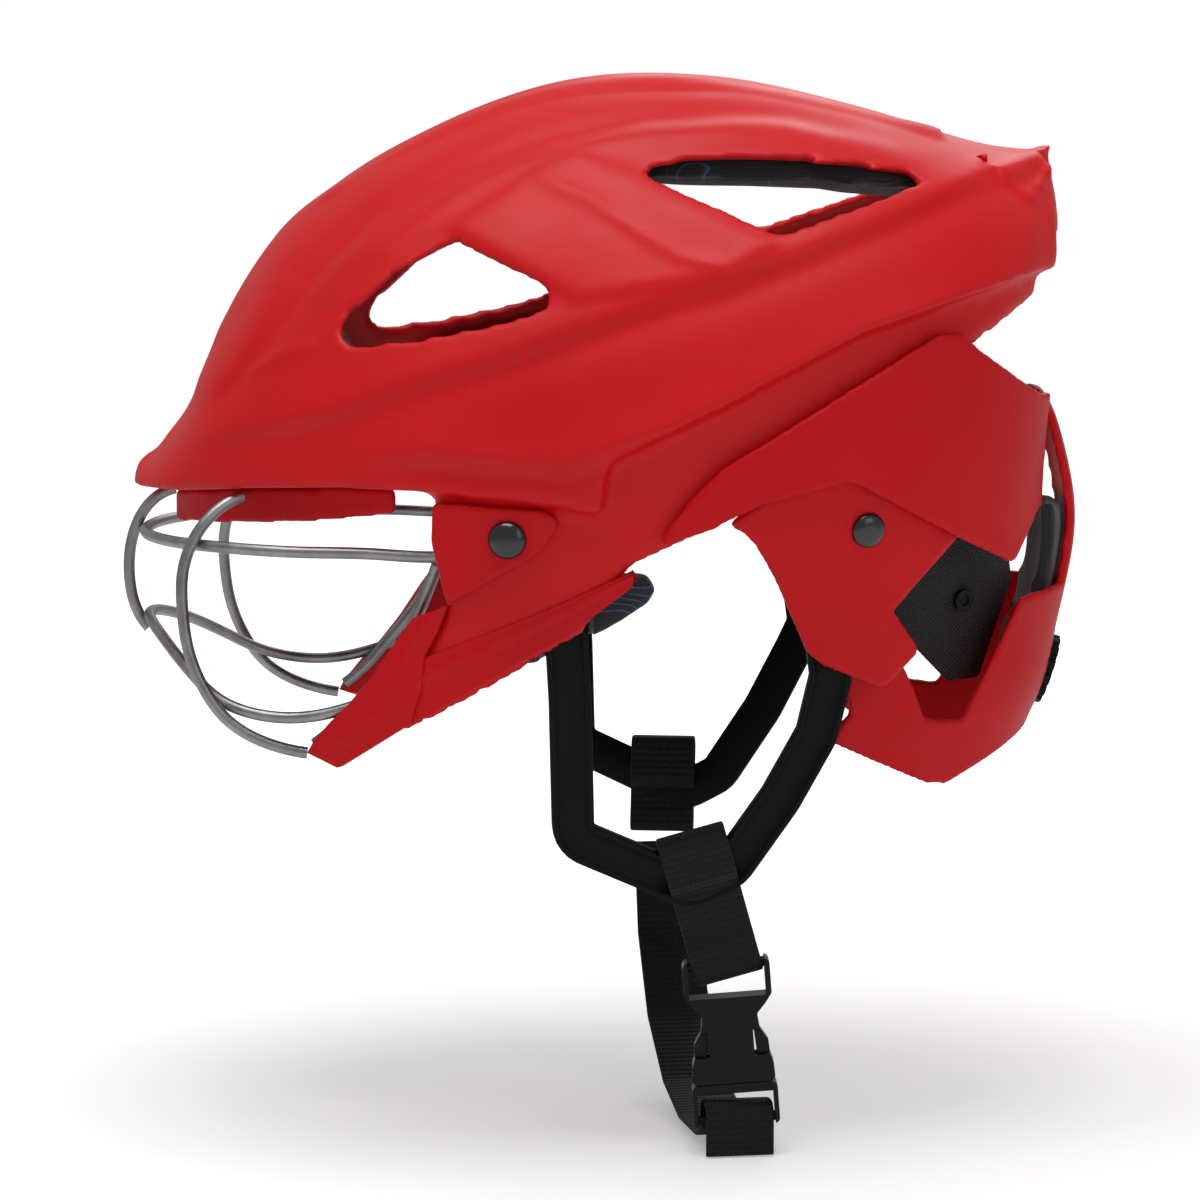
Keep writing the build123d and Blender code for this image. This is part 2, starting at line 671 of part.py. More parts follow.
# Fit dial with its shaft
with BuildPart() as fit_dial:
    add(peg(dial_plane, dial_radius, dial_proud - dial_depth, dial_depth))
    with BuildSketch(dial_plane.offset(dial_proud)):
        with PolarLocations(dial_radius, dial_grips):
            Circle(dial_grip_radius)
    extrude(amount=-dial_depth / 2, mode=Mode.SUBTRACT)
    add(peg(dial_plane, dial_shaft_radius, -housing_seat - housing_depth, housing_seat + housing_depth))

# Pinion and racks
gear_plane = dial_plane.offset(-housing_seat - housing_wall - running_gap - rack_depth)
pitch_radius = gear_module * pinion_teeth / 2
base_radius = pitch_radius * math.cos(math.radians(pressure_angle))
tip_radius = pitch_radius + addendum_share * gear_module
root_radius = pitch_radius - dedendum_share * gear_module
half_tooth = (math.pi * gear_module - tooth_backlash) / 4


def involute(radius):
    ratio = math.sqrt((radius / base_radius) ** 2 - 1)
    return ratio - math.atan(ratio)


def pinion_points():
    """Outline of the pinion with a tooth straight up."""
    half_turn = half_tooth / pitch_radius + involute(pitch_radius)
    flank = [base_radius + (tip_radius - base_radius) * step / flank_steps for step in range(flank_steps + 1)]
    profile = [(root_radius, half_turn)] + [(radius, half_turn - involute(radius)) for radius in flank]
    points = []
    for tooth in range(pinion_teeth):
        middle = math.pi / 2 - 2 * math.pi * tooth / pinion_teeth
        for radius, turn in profile:
            points.append((radius * math.cos(middle + turn), radius * math.sin(middle + turn)))
        for radius, turn in reversed(profile):
            points.append((radius * math.cos(middle - turn), radius * math.sin(middle - turn)))
    return points


def rack_points():
    """Outline of the upper rack, its teeth pointing down to the pinion, a gap over the axis."""
    pitch = math.pi * gear_module
    slope = math.tan(math.radians(pressure_angle))
    tip = pitch_radius - addendum_share * gear_module
    root = pitch_radius + dedendum_share * gear_module
    back = root + rack_back
    points = [(-rack_overlap, root)]
    teeth = int(rack_length / pitch - 1 / 2)
    first = math.ceil(-rack_overlap / pitch)
    for tooth in range(first, first + teeth):
        middle = (tooth + 1 / 2) * pitch
        wide = half_tooth + (root - pitch_radius) * slope
        thin = half_tooth - (pitch_radius - tip) * slope
        points += [(middle - wide, root), (middle - thin, tip), (middle + thin, tip), (middle + wide, root)]
    end = rack_length - rack_overlap
    return points + [(end, root), (end, back), (-rack_overlap, back)]


with BuildPart() as dial_pinion:
    with BuildSketch(gear_plane):
        with BuildLine():
            Polyline(*pinion_points(), close=True)
        make_face()
        Circle(dial_shaft_radius, mode=Mode.SUBTRACT)
    extrude(amount=rack_depth)

with BuildPart() as rack_right:
    with BuildSketch(gear_plane):
        with BuildLine():
            Polyline(*rack_points(), close=True)
        make_face()
    extrude(amount=rack_depth)

with BuildPart() as rack_left:
    with BuildSketch(gear_plane):
        with BuildLine():
            Polyline(*[(-x, -y) for x, y in rack_points()], close=True)
        make_face()
    extrude(amount=rack_depth)

# Housing round the pinion and racks, with two bosses on the cradle
rack_reach = pitch_radius + dedendum_share * gear_module + rack_back + running_gap
with BuildPart() as dial_housing:
    with BuildSketch(dial_plane.offset(-housing_seat)):
        Rectangle(housing_length, 2 * (rack_reach + housing_wall))
    extrude(amount=-housing_depth)
    with BuildSketch(gear_plane.offset(-running_gap)):
        Rectangle(2 * housing_length, 2 * rack_reach)
    extrude(amount=rack_depth + 2 * running_gap, mode=Mode.SUBTRACT)
    with BuildSketch(dial_plane):
        with GridLocations(boss_spacing, 0, 2, 1):
            Circle(boss_radius)
    extrude(amount=-housing_seat)
    add(oval_layer(cradle_level_shares, cradle_power, -cradle_wall, 2 * cradle_wall + hole_gap / 2),
        mode=Mode.SUBTRACT)
    add(peg(dial_plane, dial_shaft_radius + shaft_gap, -2 * housing_seat - housing_depth,
            2 * housing_seat + housing_depth), mode=Mode.SUBTRACT)

# Textured carriers inside the cradle, posts to the rear shell, and ring pins
with BuildPart() as carrier_left:
    add(oval_layer(cradle_level_shares, cradle_power, carrier_inset, carrier_wall))
    extrude(side_face(carrier_shares), amount=side_cut, mode=Mode.INTERSECT)
    post_seat = seat_on(carrier_left.part, post_place_share, -1)
    pin_seat = seat_on(carrier_left.part, pin_place_share, -1)
    extrude(disc(rivet_place_share, rivet_head_radius + 4 * slot_clearance), amount=side_cut, mode=Mode.SUBTRACT)
    with BuildSketch(Plane.YZ):
        Rectangle(2 * carrier_half_gap, 2 * crown_height)
    extrude(amount=helmet_length, mode=Mode.SUBTRACT)

with BuildPart() as pin_left:
    add(peg(pin_seat, pin_radius, hole_gap / 2, pin_height))
    add(peg(pin_seat, pin_radius / 2, pin_height / 2, pin_height), mode=Mode.SUBTRACT)
with BuildPart() as carrier_pins:
    add(pin_left.part)
    add(mirror(pin_left.part, about=Plane.XZ))

post_x, post_z = place(post_place_share)
with BuildPart() as post_left:
    with BuildSketch(Plane.XZ.offset(post_start - post_seat.origin.Y)):
        with Locations((post_x, post_z)):
            Circle(post_radius)
    extrude(amount=post_length)
with BuildPart() as carrier_posts:
    add(post_left.part)
    add(mirror(post_left.part, about=Plane.XZ))

# Liner pads
with BuildPart() as crown_liner_half:
    add(dome_layer(shell_wall + liner_gap, crown_liner_thickness))
    extrude(side_face(crown_liner_shares), amount=side_cut, both=True, mode=Mode.INTERSECT)
with BuildPart() as crown_liner:
    add(both_sides(crown_liner_half.part))

with BuildPart() as side_liner_left:
    add(dome_layer(shell_wall + liner_gap, side_liner_thickness))
    extrude(side_face(side_liner_shares), amount=side_cut, mode=Mode.INTERSECT)

with BuildPart() as brow_pad_half:
    add(dome_layer(brow_pad_inset, brow_pad_thickness))
    extrude(side_face(brow_pad_shares), amount=side_cut, both=True, mode=Mode.INTERSECT)
with BuildPart() as brow_pad:
    add(both_sides(brow_pad_half.part))

with BuildPart() as nape_pad:
    add(oval_layer(cradle_level_shares, cradle_power, cradle_wall + liner_gap, nape_pad_thickness))
    extrude(side_face(nape_pad_shares), amount=nape_pad_half_width, both=True, mode=Mode.INTERSECT)

# Yokes in a plane that leans inwards, with studs at both ends
yoke_corners = wire_points([(x, y, z) for x, y, z in yoke_plane_shares])
yoke_origin = Vector(*yoke_corners[0])
yoke_normal = (Vector(*yoke_corners[1]) - yoke_origin).cross(Vector(*yoke_corners[2]) - yoke_origin).normalized()
if yoke_normal.Y > 0:
    yoke_normal = -yoke_normal
yoke_plane = Plane(origin=yoke_origin, x_dir=Vector(1, 0, 0) - yoke_normal * yoke_normal.X, z_dir=yoke_normal)


def on_yoke_plane(share, rise=0):
    """The point of the yoke's plane at a place in side view."""
    x, z = place(share)
    z += rise
    run = yoke_normal.X * (x - yoke_origin.X) + yoke_normal.Z * (z - yoke_origin.Z)
    return Vector(x, yoke_origin.Y - run / yoke_normal.Y, z)


def yoke_band(rise, width):
    """Yoke path with its lower part raised, as a band of a width."""
    points = []
    for x, z in yoke_path_shares:
        lift = rise if z < yoke_path_shares[2][1] else 0
        local = yoke_plane.to_local_coords(on_yoke_plane((x, z), lift))
        points.append((local.X, local.Y))
    with BuildSketch(yoke_plane) as band:
        with BuildLine() as path:
            FilletPolyline(*points, radius=yoke_bend_radius)
        trace(path.line, line_width=width)
    return band.sketch


front_stud = on_yoke_plane(front_stud_share)
rear_stud = on_yoke_plane(rear_stud_share)


def yoke(rise):
    with BuildPart() as body:
        extrude(yoke_band(rise, yoke_width), amount=yoke_thickness / 2, both=True)
        for stud in (front_stud, rear_stud):
            seat = Plane(origin=stud, z_dir=yoke_normal)
            add(peg(seat, stud_shank_radius + hole_gap, -yoke_thickness, 2 * yoke_thickness), mode=Mode.SUBTRACT)
    return body.part


with BuildPart() as yoke_left:
    add(yoke(0))
with BuildPart() as yoke_right:
    add(mirror(yoke(yoke_rise), about=Plane.XZ))

with BuildPart() as studs_left:
    seat = Plane(origin=front_stud, z_dir=yoke_normal)
    add(peg(seat, stud_radius, -yoke_thickness / 2 - hole_gap - stud_height, stud_height))
    add(peg(seat, stud_shank_radius, -yoke_thickness / 2 - stud_height, yoke_thickness + stud_height + stud_reach))
    seat = Plane(origin=rear_stud, z_dir=yoke_normal)
    add(peg(seat, stud_shank_radius, -yoke_thickness / 2, yoke_thickness + stud_reach))
with BuildPart() as yoke_studs:
    add(studs_left.part)
    add(mirror(studs_left.part, about=Plane.XZ))

# Cheek pads, with a channel for the yoke's front leg
with BuildPart() as cheek_pad_left:
    add(dome_layer(cheek_pad_inset, cheek_pad_thickness))
    extrude(side_face(cheek_pad_shares), amount=side_cut, mode=Mode.INTERSECT)
    extrude(yoke_band(0, yoke_width + 2 * liner_gap), amount=helmet_width / 8, mode=Mode.SUBTRACT)
    extrude(yoke_band(0, yoke_width + 2 * liner_gap), amount=-yoke_thickness / 2 - liner_gap, mode=Mode.SUBTRACT)
    add(peg(Plane(origin=front_stud, z_dir=yoke_normal), stud_radius + liner_gap,
            -2 * yoke_thickness, 2 * yoke_thickness), mode=Mode.SUBTRACT)


# Planes of the buckle and of the chin webbing
buckle_turn = math.radians(buckle_tilt)
buckle_x, buckle_y, buckle_z = buckle_place_share
buckle_plane = Plane(
    origin=(buckle_x * helmet_length, buckle_y * helmet_width / 2, buckle_z * crown_height),
    x_dir=(math.cos(buckle_turn), 0, math.sin(buckle_turn)), z_dir=(0, -1, 0))
foot_bar = buckle_plane.from_local_coords(Vector(0, buckle_bar_radius - buckle_length / 2, 0))
across = math.radians(webbing_turn)
webbing_plane = Plane(
    origin=(foot_bar.X, foot_bar.Y, 0), x_dir=(-math.sin(across), math.cos(across), 0),
    z_dir=(math.cos(across), math.sin(across), 0))


def webbing_loop(loop_shares):
    """Flat loop of webbing round the yoke, between two places in side view."""
    top = on_yoke_plane(loop_shares[0])
    foot = on_yoke_plane(loop_shares[1])
    down = foot - top
    inner_height = yoke_thickness + 2 * webbing_gap
    with BuildPart() as loop:
        with BuildSketch(Plane(origin=(top + foot) / 2, x_dir=down, z_dir=down.cross(yoke_normal))):
            SlotCenterToCenter(down.length, inner_height + 2 * webbing_thickness)
            SlotCenterToCenter(down.length, inner_height, mode=Mode.SUBTRACT)
        extrude(amount=webbing_width / 2, both=True)
    return loop.part


with BuildPart() as webbing_left:
    add(webbing_loop(left_loop_shares))

with BuildPart() as webbing_right:
    add(mirror(webbing_loop(right_loop_shares), about=Plane.XZ))
    right_points = [(along * helmet_width / 2, z * crown_height) for along, z in right_webbing_shares]
    with BuildSketch(webbing_plane):
        with BuildLine() as right_path:
            FilletPolyline(*right_points, radius=webbing_bend_radius)
        trace(right_path.line, line_width=webbing_thickness)
    extrude(amount=webbing_width / 2, both=True)

# Side release buckle
def buckle_face(point_shares, radius=0):
    """Closed outline on the buckle, across as shares of its width and along as shares of its length."""
    points = [(u * buckle_width, v * buckle_length) for u, v in point_shares]
    with BuildSketch(buckle_plane) as face:
        with BuildLine():
            if radius:
                FilletPolyline(*points, radius=radius, close=True)
            else:
                Polyline(*points, close=True)
        make_face()
    return face.sketch


def buckle_bar(along):
    """Round bar across the buckle."""
    with BuildPart() as bar:
        with BuildSketch(Plane(origin=buckle_plane.from_local_coords(Vector(0, along, 0)), z_dir=buckle_plane.x_dir)):
            Circle(buckle_bar_radius)
        extrude(amount=buckle_width * bar_reach_share, both=True)
    return bar.part


with BuildPart() as buckle_female:
    extrude(buckle_face(female_shares, buckle_wall), amount=buckle_thickness / 2, both=True)
    extrude(buckle_face(female_slot_shares), amount=buckle_thickness, both=True, mode=Mode.SUBTRACT)
    with BuildSketch(buckle_plane) as top_gap:
        with Locations((0, buckle_length / 2)):
            Rectangle(2 * buckle_width * bar_reach_share, 5 * buckle_bar_radius)
    extrude(amount=buckle_thickness, both=True, mode=Mode.SUBTRACT)
    add(buckle_bar(buckle_length / 2 - buckle_bar_radius))
    extrude(buckle_face(cavity_shares), amount=buckle_thickness / 2 - buckle_wall, both=True, mode=Mode.SUBTRACT)
    extrude(buckle_face(window_shares), amount=buckle_thickness, both=True, mode=Mode.SUBTRACT)
    extrude(buckle_face([(-u, v) for u, v in window_shares]), amount=buckle_thickness, both=True, mode=Mode.SUBTRACT)

with BuildPart() as buckle_male:
    extrude(buckle_face(male_shares, buckle_wall), amount=buckle_thickness / 2, both=True)
    extrude(buckle_face(male_slot_shares), amount=buckle_thickness, both=True, mode=Mode.SUBTRACT)
    with BuildSketch(buckle_plane) as foot_gap:
        with Locations((0, -buckle_length / 2)):
            Rectangle(2 * buckle_width * bar_reach_share, 5 * buckle_bar_radius)
    extrude(amount=buckle_thickness, both=True, mode=Mode.SUBTRACT)
    add(buckle_bar(buckle_bar_radius - buckle_length / 2))
    extrude(buckle_face(tongue_shares), amount=prong_thickness / 2, both=True)

prong_pivot = (prong_pivot_share[0] * buckle_width, prong_pivot_share[1] * buckle_length)
with BuildPart() as buckle_prong_rear:
    extrude(buckle_face(prong_shares), amount=prong_thickness / 2, both=True)
    with BuildSketch(buckle_plane):
        with Locations(prong_pivot):
            Circle(prong_width / 2)
    extrude(amount=prong_thickness / 2, both=True)

with BuildPart() as buckle_prong_front:
    add(mirror(buckle_prong_rear.part, about=Plane(origin=buckle_plane.origin, z_dir=buckle_plane.x_dir)))

pairs = [
    ("rear_shell", rear_shell_left), ("ear_guard", ear_guard_left), ("cage_bracket", cage_bracket_left),
    ("jaw_guard", jaw_guard_left), ("cage_side_wire", cage_side_wire_left),
    ("cage_frame_wire", cage_frame_wire_left), ("carrier", carrier_left), ("side_liner", side_liner_left),
    ("cheek_pad", cheek_pad_left),
]
singles = [
    ("crown_shell", crown_shell), ("brow_rail", brow_rail), ("cage_top_bar", cage_top_bar),
    ("cage_lower_bar", cage_lower_bar), ("cage_centre_wire", cage_centre_wire), ("cage_screws", cage_screws),
    ("cage_nuts", cage_nuts), ("cage_eyes", cage_eyes),
    ("ear_rivets", ear_rivets), ("carrier_pins", carrier_pins),
    ("carrier_posts", carrier_posts), ("crown_liner", crown_liner), ("brow_pad", brow_pad),
    ("nape_pad", nape_pad), ("rear_cradle", rear_cradle), ("dial_housing", dial_housing),
    ("fit_dial", fit_dial), ("dial_pinion", dial_pinion), ("rack_left", rack_left),
    ("rack_right", rack_right), ("yoke_left", yoke_left), ("yoke_right", yoke_right),
    ("yoke_studs", yoke_studs), ("webbing_left", webbing_left), ("webbing_right", webbing_right),
    ("buckle_female", buckle_female), ("buckle_male", buckle_male), ("buckle_prong_rear", buckle_prong_rear),
    ("buckle_prong_front", buckle_prong_front),
]
pieces = [(name, builder.part) for name, builder in singles]
for name, builder in pairs:
    pieces.append((name + "_left", builder.part))
    pieces.append((name + "_right", mirror(builder.part, about=Plane.XZ)))

os.makedirs("parts", exist_ok=True)
for name, piece in pieces:
    piece.label = name
    export_step(piece, "parts/" + name + ".step")
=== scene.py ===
import json
import math

import bmesh
import bpy
import numpy as np
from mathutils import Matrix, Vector


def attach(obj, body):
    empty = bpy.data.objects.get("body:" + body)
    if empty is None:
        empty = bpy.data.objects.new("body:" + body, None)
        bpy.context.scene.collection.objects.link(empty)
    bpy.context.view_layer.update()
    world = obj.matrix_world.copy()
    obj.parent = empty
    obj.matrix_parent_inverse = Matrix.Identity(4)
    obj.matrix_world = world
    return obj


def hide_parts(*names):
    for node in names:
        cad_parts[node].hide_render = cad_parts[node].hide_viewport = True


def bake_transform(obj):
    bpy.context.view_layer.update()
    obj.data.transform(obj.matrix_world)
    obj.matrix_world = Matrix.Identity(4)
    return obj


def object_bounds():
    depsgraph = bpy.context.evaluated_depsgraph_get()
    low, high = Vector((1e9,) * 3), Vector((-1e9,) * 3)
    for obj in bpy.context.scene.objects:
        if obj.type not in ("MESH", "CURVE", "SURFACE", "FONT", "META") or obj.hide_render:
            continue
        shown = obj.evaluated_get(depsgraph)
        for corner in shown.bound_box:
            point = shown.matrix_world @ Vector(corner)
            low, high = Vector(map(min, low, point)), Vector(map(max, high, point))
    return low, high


# A hard shell field helmet with a wire cage. Metres, front towards -X, wearer's left towards -Y.
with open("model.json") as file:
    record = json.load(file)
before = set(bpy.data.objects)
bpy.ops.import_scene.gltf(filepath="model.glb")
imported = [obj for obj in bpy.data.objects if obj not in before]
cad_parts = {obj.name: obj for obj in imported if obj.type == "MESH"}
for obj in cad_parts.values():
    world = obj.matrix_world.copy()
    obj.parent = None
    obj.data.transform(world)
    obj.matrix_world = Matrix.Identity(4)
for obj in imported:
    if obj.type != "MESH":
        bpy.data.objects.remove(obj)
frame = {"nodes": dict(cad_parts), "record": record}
nodes = frame["nodes"]
cad_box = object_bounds()

MM = 0.001

# Sizes shared with the part's source, in millimetres
LENGTH, HEIGHT, WIDTH = 260.0, 150.0, 192.0


# Colour and material helpers
def linear(code):
    """sRGB hex code as linear red, green, blue and full alpha."""
    values = [int(code[i:i + 2], 16) / 255 for i in (1, 3, 5)]
    return [v / 12.92 if v <= 0.04045 else ((v + 0.055) / 1.055) ** 2.4 for v in values] + [1.0]


def put(tree, kind, inputs=None, stops=(), **settings):
    """Adds a node with its settings; an input takes a value, or a link where it is given a socket.
    Stops are the (place, hex colour) rows of a colour ramp."""
    node = tree.nodes.new(kind)
    for name, value in settings.items():
        setattr(node, name, value)
    for name, value in (inputs or {}).items():
        if isinstance(value, bpy.types.NodeSocket):
            tree.links.new(value, node.inputs[name])
        else:
            node.inputs[name].default_value = value
    while stops and len(node.color_ramp.elements) < len(stops):
        node.color_ramp.elements.new(0.5)
    for k, (where, code) in enumerate(stops):
        node.color_ramp.elements[k].position = where
        node.color_ramp.elements[k].color = linear(code)
    return node


def finish_named(name):
    """A new material's node tree, emptied down to its output and a principled shader."""
    material = bpy.data.materials.new(name)
    material.use_nodes = True
    tree = material.node_tree
    tree.nodes.clear()
    shader = put(tree, "ShaderNodeBsdfPrincipled")
    put(tree, "ShaderNodeOutputMaterial", {"Surface": shader.outputs["BSDF"]})
    return material, tree, shader


def per_mm(spacing):
    """Noise or voronoi scale for a feature spacing in millimetres, on coordinates in metres."""
    return 1.0 / (spacing * MM)


def moulded(name, base, deep, light, rough, grit_mm, grit_height_mm, edge_mm=0.0, scuff="", coat=0.0,
            spec=0.5):
    """Injection moulded plastic: base colour drifts over the part, fine moulded grit, scuffs, soft edges."""
    material, tree, shader = finish_named(name)
    here = put(tree, "ShaderNodeTexCoord").outputs["Object"]
    drift = put(tree, "ShaderNodeTexNoise", {"Vector": here, "Scale": per_mm(70), "Detail": 3.0,
                                             "Roughness": 0.5})
    colour = put(tree, "ShaderNodeValToRGB", {"Fac": drift.outputs["Fac"]},
                 stops=[(0.3, deep), (0.5, base), (0.72, light)]).outputs["Color"]
    if scuff:
        scratch_space = put(tree, "ShaderNodeMapping", {"Vector": here, "Scale": (1.0, 3.0, 7.0)})
        streaks = put(tree, "ShaderNodeTexNoise", {"Vector": scratch_space.outputs["Vector"],
                                                   "Scale": per_mm(16), "Detail": 5.0, "Roughness": 0.62})
        worn = put(tree, "ShaderNodeMapRange", {"Value": streaks.outputs["Fac"], "From Min": 0.66,
                                                "From Max": 0.8, "To Min": 0.0, "To Max": 0.35})
        mixed = put(tree, "ShaderNodeMix", data_type="RGBA")
        tree.links.new(worn.outputs["Result"], mixed.inputs["Factor"])
        tree.links.new(colour, mixed.inputs["A"])
        mixed.inputs["B"].default_value = linear(scuff)
        colour = mixed.outputs["Result"]
    tree.links.new(colour, shader.inputs["Base Color"])
    sheen_drift = put(tree, "ShaderNodeTexNoise", {"Vector": here, "Scale": per_mm(24), "Detail": 4.0})
    rough_range = put(tree, "ShaderNodeMapRange", {"Value": sheen_drift.outputs["Fac"],
                                                   "From Min": 0.3, "From Max": 0.7,
                                                   "To Min": rough - 0.05, "To Max": rough + 0.06})
    tree.links.new(rough_range.outputs["Result"], shader.inputs["Roughness"])
    grit = put(tree, "ShaderNodeTexNoise", {"Vector": here, "Scale": per_mm(grit_mm), "Detail": 2.0})
    bump = put(tree, "ShaderNodeBump", {"Height": grit.outputs["Fac"], "Strength": 1.0,
                                        "Distance": grit_height_mm * MM})
    if edge_mm:
        soft = put(tree, "ShaderNodeBevel", {"Radius": edge_mm * MM}, samples=6)
        tree.links.new(soft.outputs["Normal"], bump.inputs["Normal"])
    tree.links.new(bump.outputs["Normal"], shader.inputs["Normal"])
    shader.inputs["Specular IOR Level"].default_value = spec
    shader.inputs["Coat Weight"].default_value = coat
    shader.inputs["Coat Roughness"].default_value = 0.25
    return material


# Satin moulded ABS of the outer shell: an even red with soft broad highlights
shell_red = moulded("satin_abs_red", "#d60a12", "#cf0710", "#dc0f16", rough=0.46, grit_mm=0.9,
                    grit_height_mm=0.012, edge_mm=0.8, spec=0.3)
# The lower rear shell, the brow rail and the cradle: the same plastic with its red painted darker as shade,
# for parts that sit low and under the crown
lobe_red = moulded("satin_abs_deep_red", "#cb0612", "#c3040f", "#d20a15", rough=0.46, grit_mm=0.9,
                   grit_height_mm=0.012, edge_mm=0.8, spec=0.2)
# Ear guards: the same plastic, a little softer and more matte
guard_red = moulded("soft_abs_red", "#ce0812", "#c6050e", "#d50c16", rough=0.46, grit_mm=0.8,
                    grit_height_mm=0.014, edge_mm=0.8, spec=0.22)
# Jaw guards: flexible moulded plastic, slightly darker
jaw_red = moulded("flexible_moulded_red", "#cb0612", "#c3040f", "#d20a15", rough=0.45, grit_mm=0.8,
                  grit_height_mm=0.016, edge_mm=0.8, spec=0.22)
# Glass filled nylon: dull black with a fine moulded texture
black_nylon = moulded("moulded_black_nylon", "#0a0a0b", "#070708", "#0f0f10", rough=0.5, grit_mm=0.7,
                      grit_height_mm=0.03, edge_mm=0.5, scuff="#151516", spec=0.22)
# Acetal buckle: smoother and glossier than the nylon
buckle_black = moulded("acetal_buckle_black", "#070709", "#050506", "#0b0b0e", rough=0.34, grit_mm=0.6,
                       grit_height_mm=0.01, edge_mm=0.5, scuff="#111114", spec=0.25)
# Soft rubber of the yokes: matte, dusty black
yoke_rubber = moulded("matte_yoke_rubber", "#060608", "#040405", "#09090b", rough=0.5, grit_mm=0.5,
                      grit_height_mm=0.03, edge_mm=0.4, scuff="#0e0e11", spec=0.16)
# Zinc plated and blacked fasteners: dark, with tight highlights from the clear coat
fastener_black = moulded("blacked_steel_fastener", "#0c0d10", "#08090b", "#121317", rough=0.2, grit_mm=0.5,
                         grit_height_mm=0.004, edge_mm=0.3, coat=0.6, spec=0.6)


def drawn_wire(name):
    """Drawn and tumbled stainless rod: metal, grey, with fine lengthwise streaks and dull patches."""
    material, tree, shader = finish_named(name)
    here = put(tree, "ShaderNodeTexCoord").outputs["Object"]
    patches = put(tree, "ShaderNodeTexNoise", {"Vector": here, "Scale": per_mm(9), "Detail": 5.0,
                                               "Roughness": 0.6})
    colour = put(tree, "ShaderNodeValToRGB", {"Fac": patches.outputs["Fac"]},
                 stops=[(0.3, "#8b8a8b"), (0.5, "#9d9c9d"), (0.7, "#b1b0b0")]).outputs["Color"]
    tree.links.new(colour, shader.inputs["Base Color"])
    rough = put(tree, "ShaderNodeMapRange", {"Value": patches.outputs["Fac"], "From Min": 0.3,
                                             "From Max": 0.7, "To Min": 0.3, "To Max": 0.46})
    tree.links.new(rough.outputs["Result"], shader.inputs["Roughness"])
    pits = put(tree, "ShaderNodeTexNoise", {"Vector": here, "Scale": per_mm(0.6), "Detail": 2.0})
    bump = put(tree, "ShaderNodeBump", {"Height": pits.outputs["Fac"], "Strength": 1.0,
                                        "Distance": 0.02 * MM})
    tree.links.new(bump.outputs["Normal"], shader.inputs["Normal"])
    shader.inputs["Metallic"].default_value = 1.0
    return material


cage_wire = drawn_wire("drawn_stainless_wire")


# Spacing of the knurl's tips along the length, in millimetres
KNURL_SPACING = 1.13


def knurled(name):
    """Black polymer moulded with small pyramids on their corners, paler at the tips as painted highlight and
    darker between them as painted shade: |sin| times |sin|.
    """
    material, tree, shader = finish_named(name)
    here = put(tree, "ShaderNodeTexCoord").outputs["Object"]
    parts = put(tree, "ShaderNodeSeparateXYZ", {"Vector": here})
    waves = []
    for along, up in ((1.0, 1.0), (1.0, -1.0)):
        run = put(tree, "ShaderNodeMath", {0: parts.outputs["X"], 1: along}, operation="MULTIPLY")
        rise = put(tree, "ShaderNodeMath", {0: parts.outputs["Z"], 1: up}, operation="MULTIPLY")
        both = put(tree, "ShaderNodeMath", {0: run.outputs[0], 1: rise.outputs[0]}, operation="ADD")
        phase = put(tree, "ShaderNodeMath", {0: both.outputs[0], 1: math.pi / (KNURL_SPACING * MM)},
                    operation="MULTIPLY")
        wave = put(tree, "ShaderNodeMath", {0: phase.outputs[0]}, operation="SINE")
        waves.append(put(tree, "ShaderNodeMath", {0: wave.outputs[0]}, operation="ABSOLUTE").outputs[0])
    peak = put(tree, "ShaderNodeMath", {0: waves[0], 1: waves[1]}, operation="MULTIPLY").outputs[0]
    # Painted highlight and shade: the colour follows the knurl's height, pale on the tips and dark in the
    # grooves
    colour = put(tree, "ShaderNodeValToRGB", {"Fac": peak},
                 stops=[(0.0, "#0c0c0d"), (0.5, "#151516"), (1.0, "#232325")]).outputs["Color"]
    tree.links.new(colour, shader.inputs["Base Color"])
    bump = put(tree, "ShaderNodeBump", {"Height": peak, "Strength": 1.0, "Distance": 0.28 * MM})
    tree.links.new(bump.outputs["Normal"], shader.inputs["Normal"])
    shader.inputs["Roughness"].default_value = 0.45
    return material


carrier_black = knurled("knurled_black_polymer")


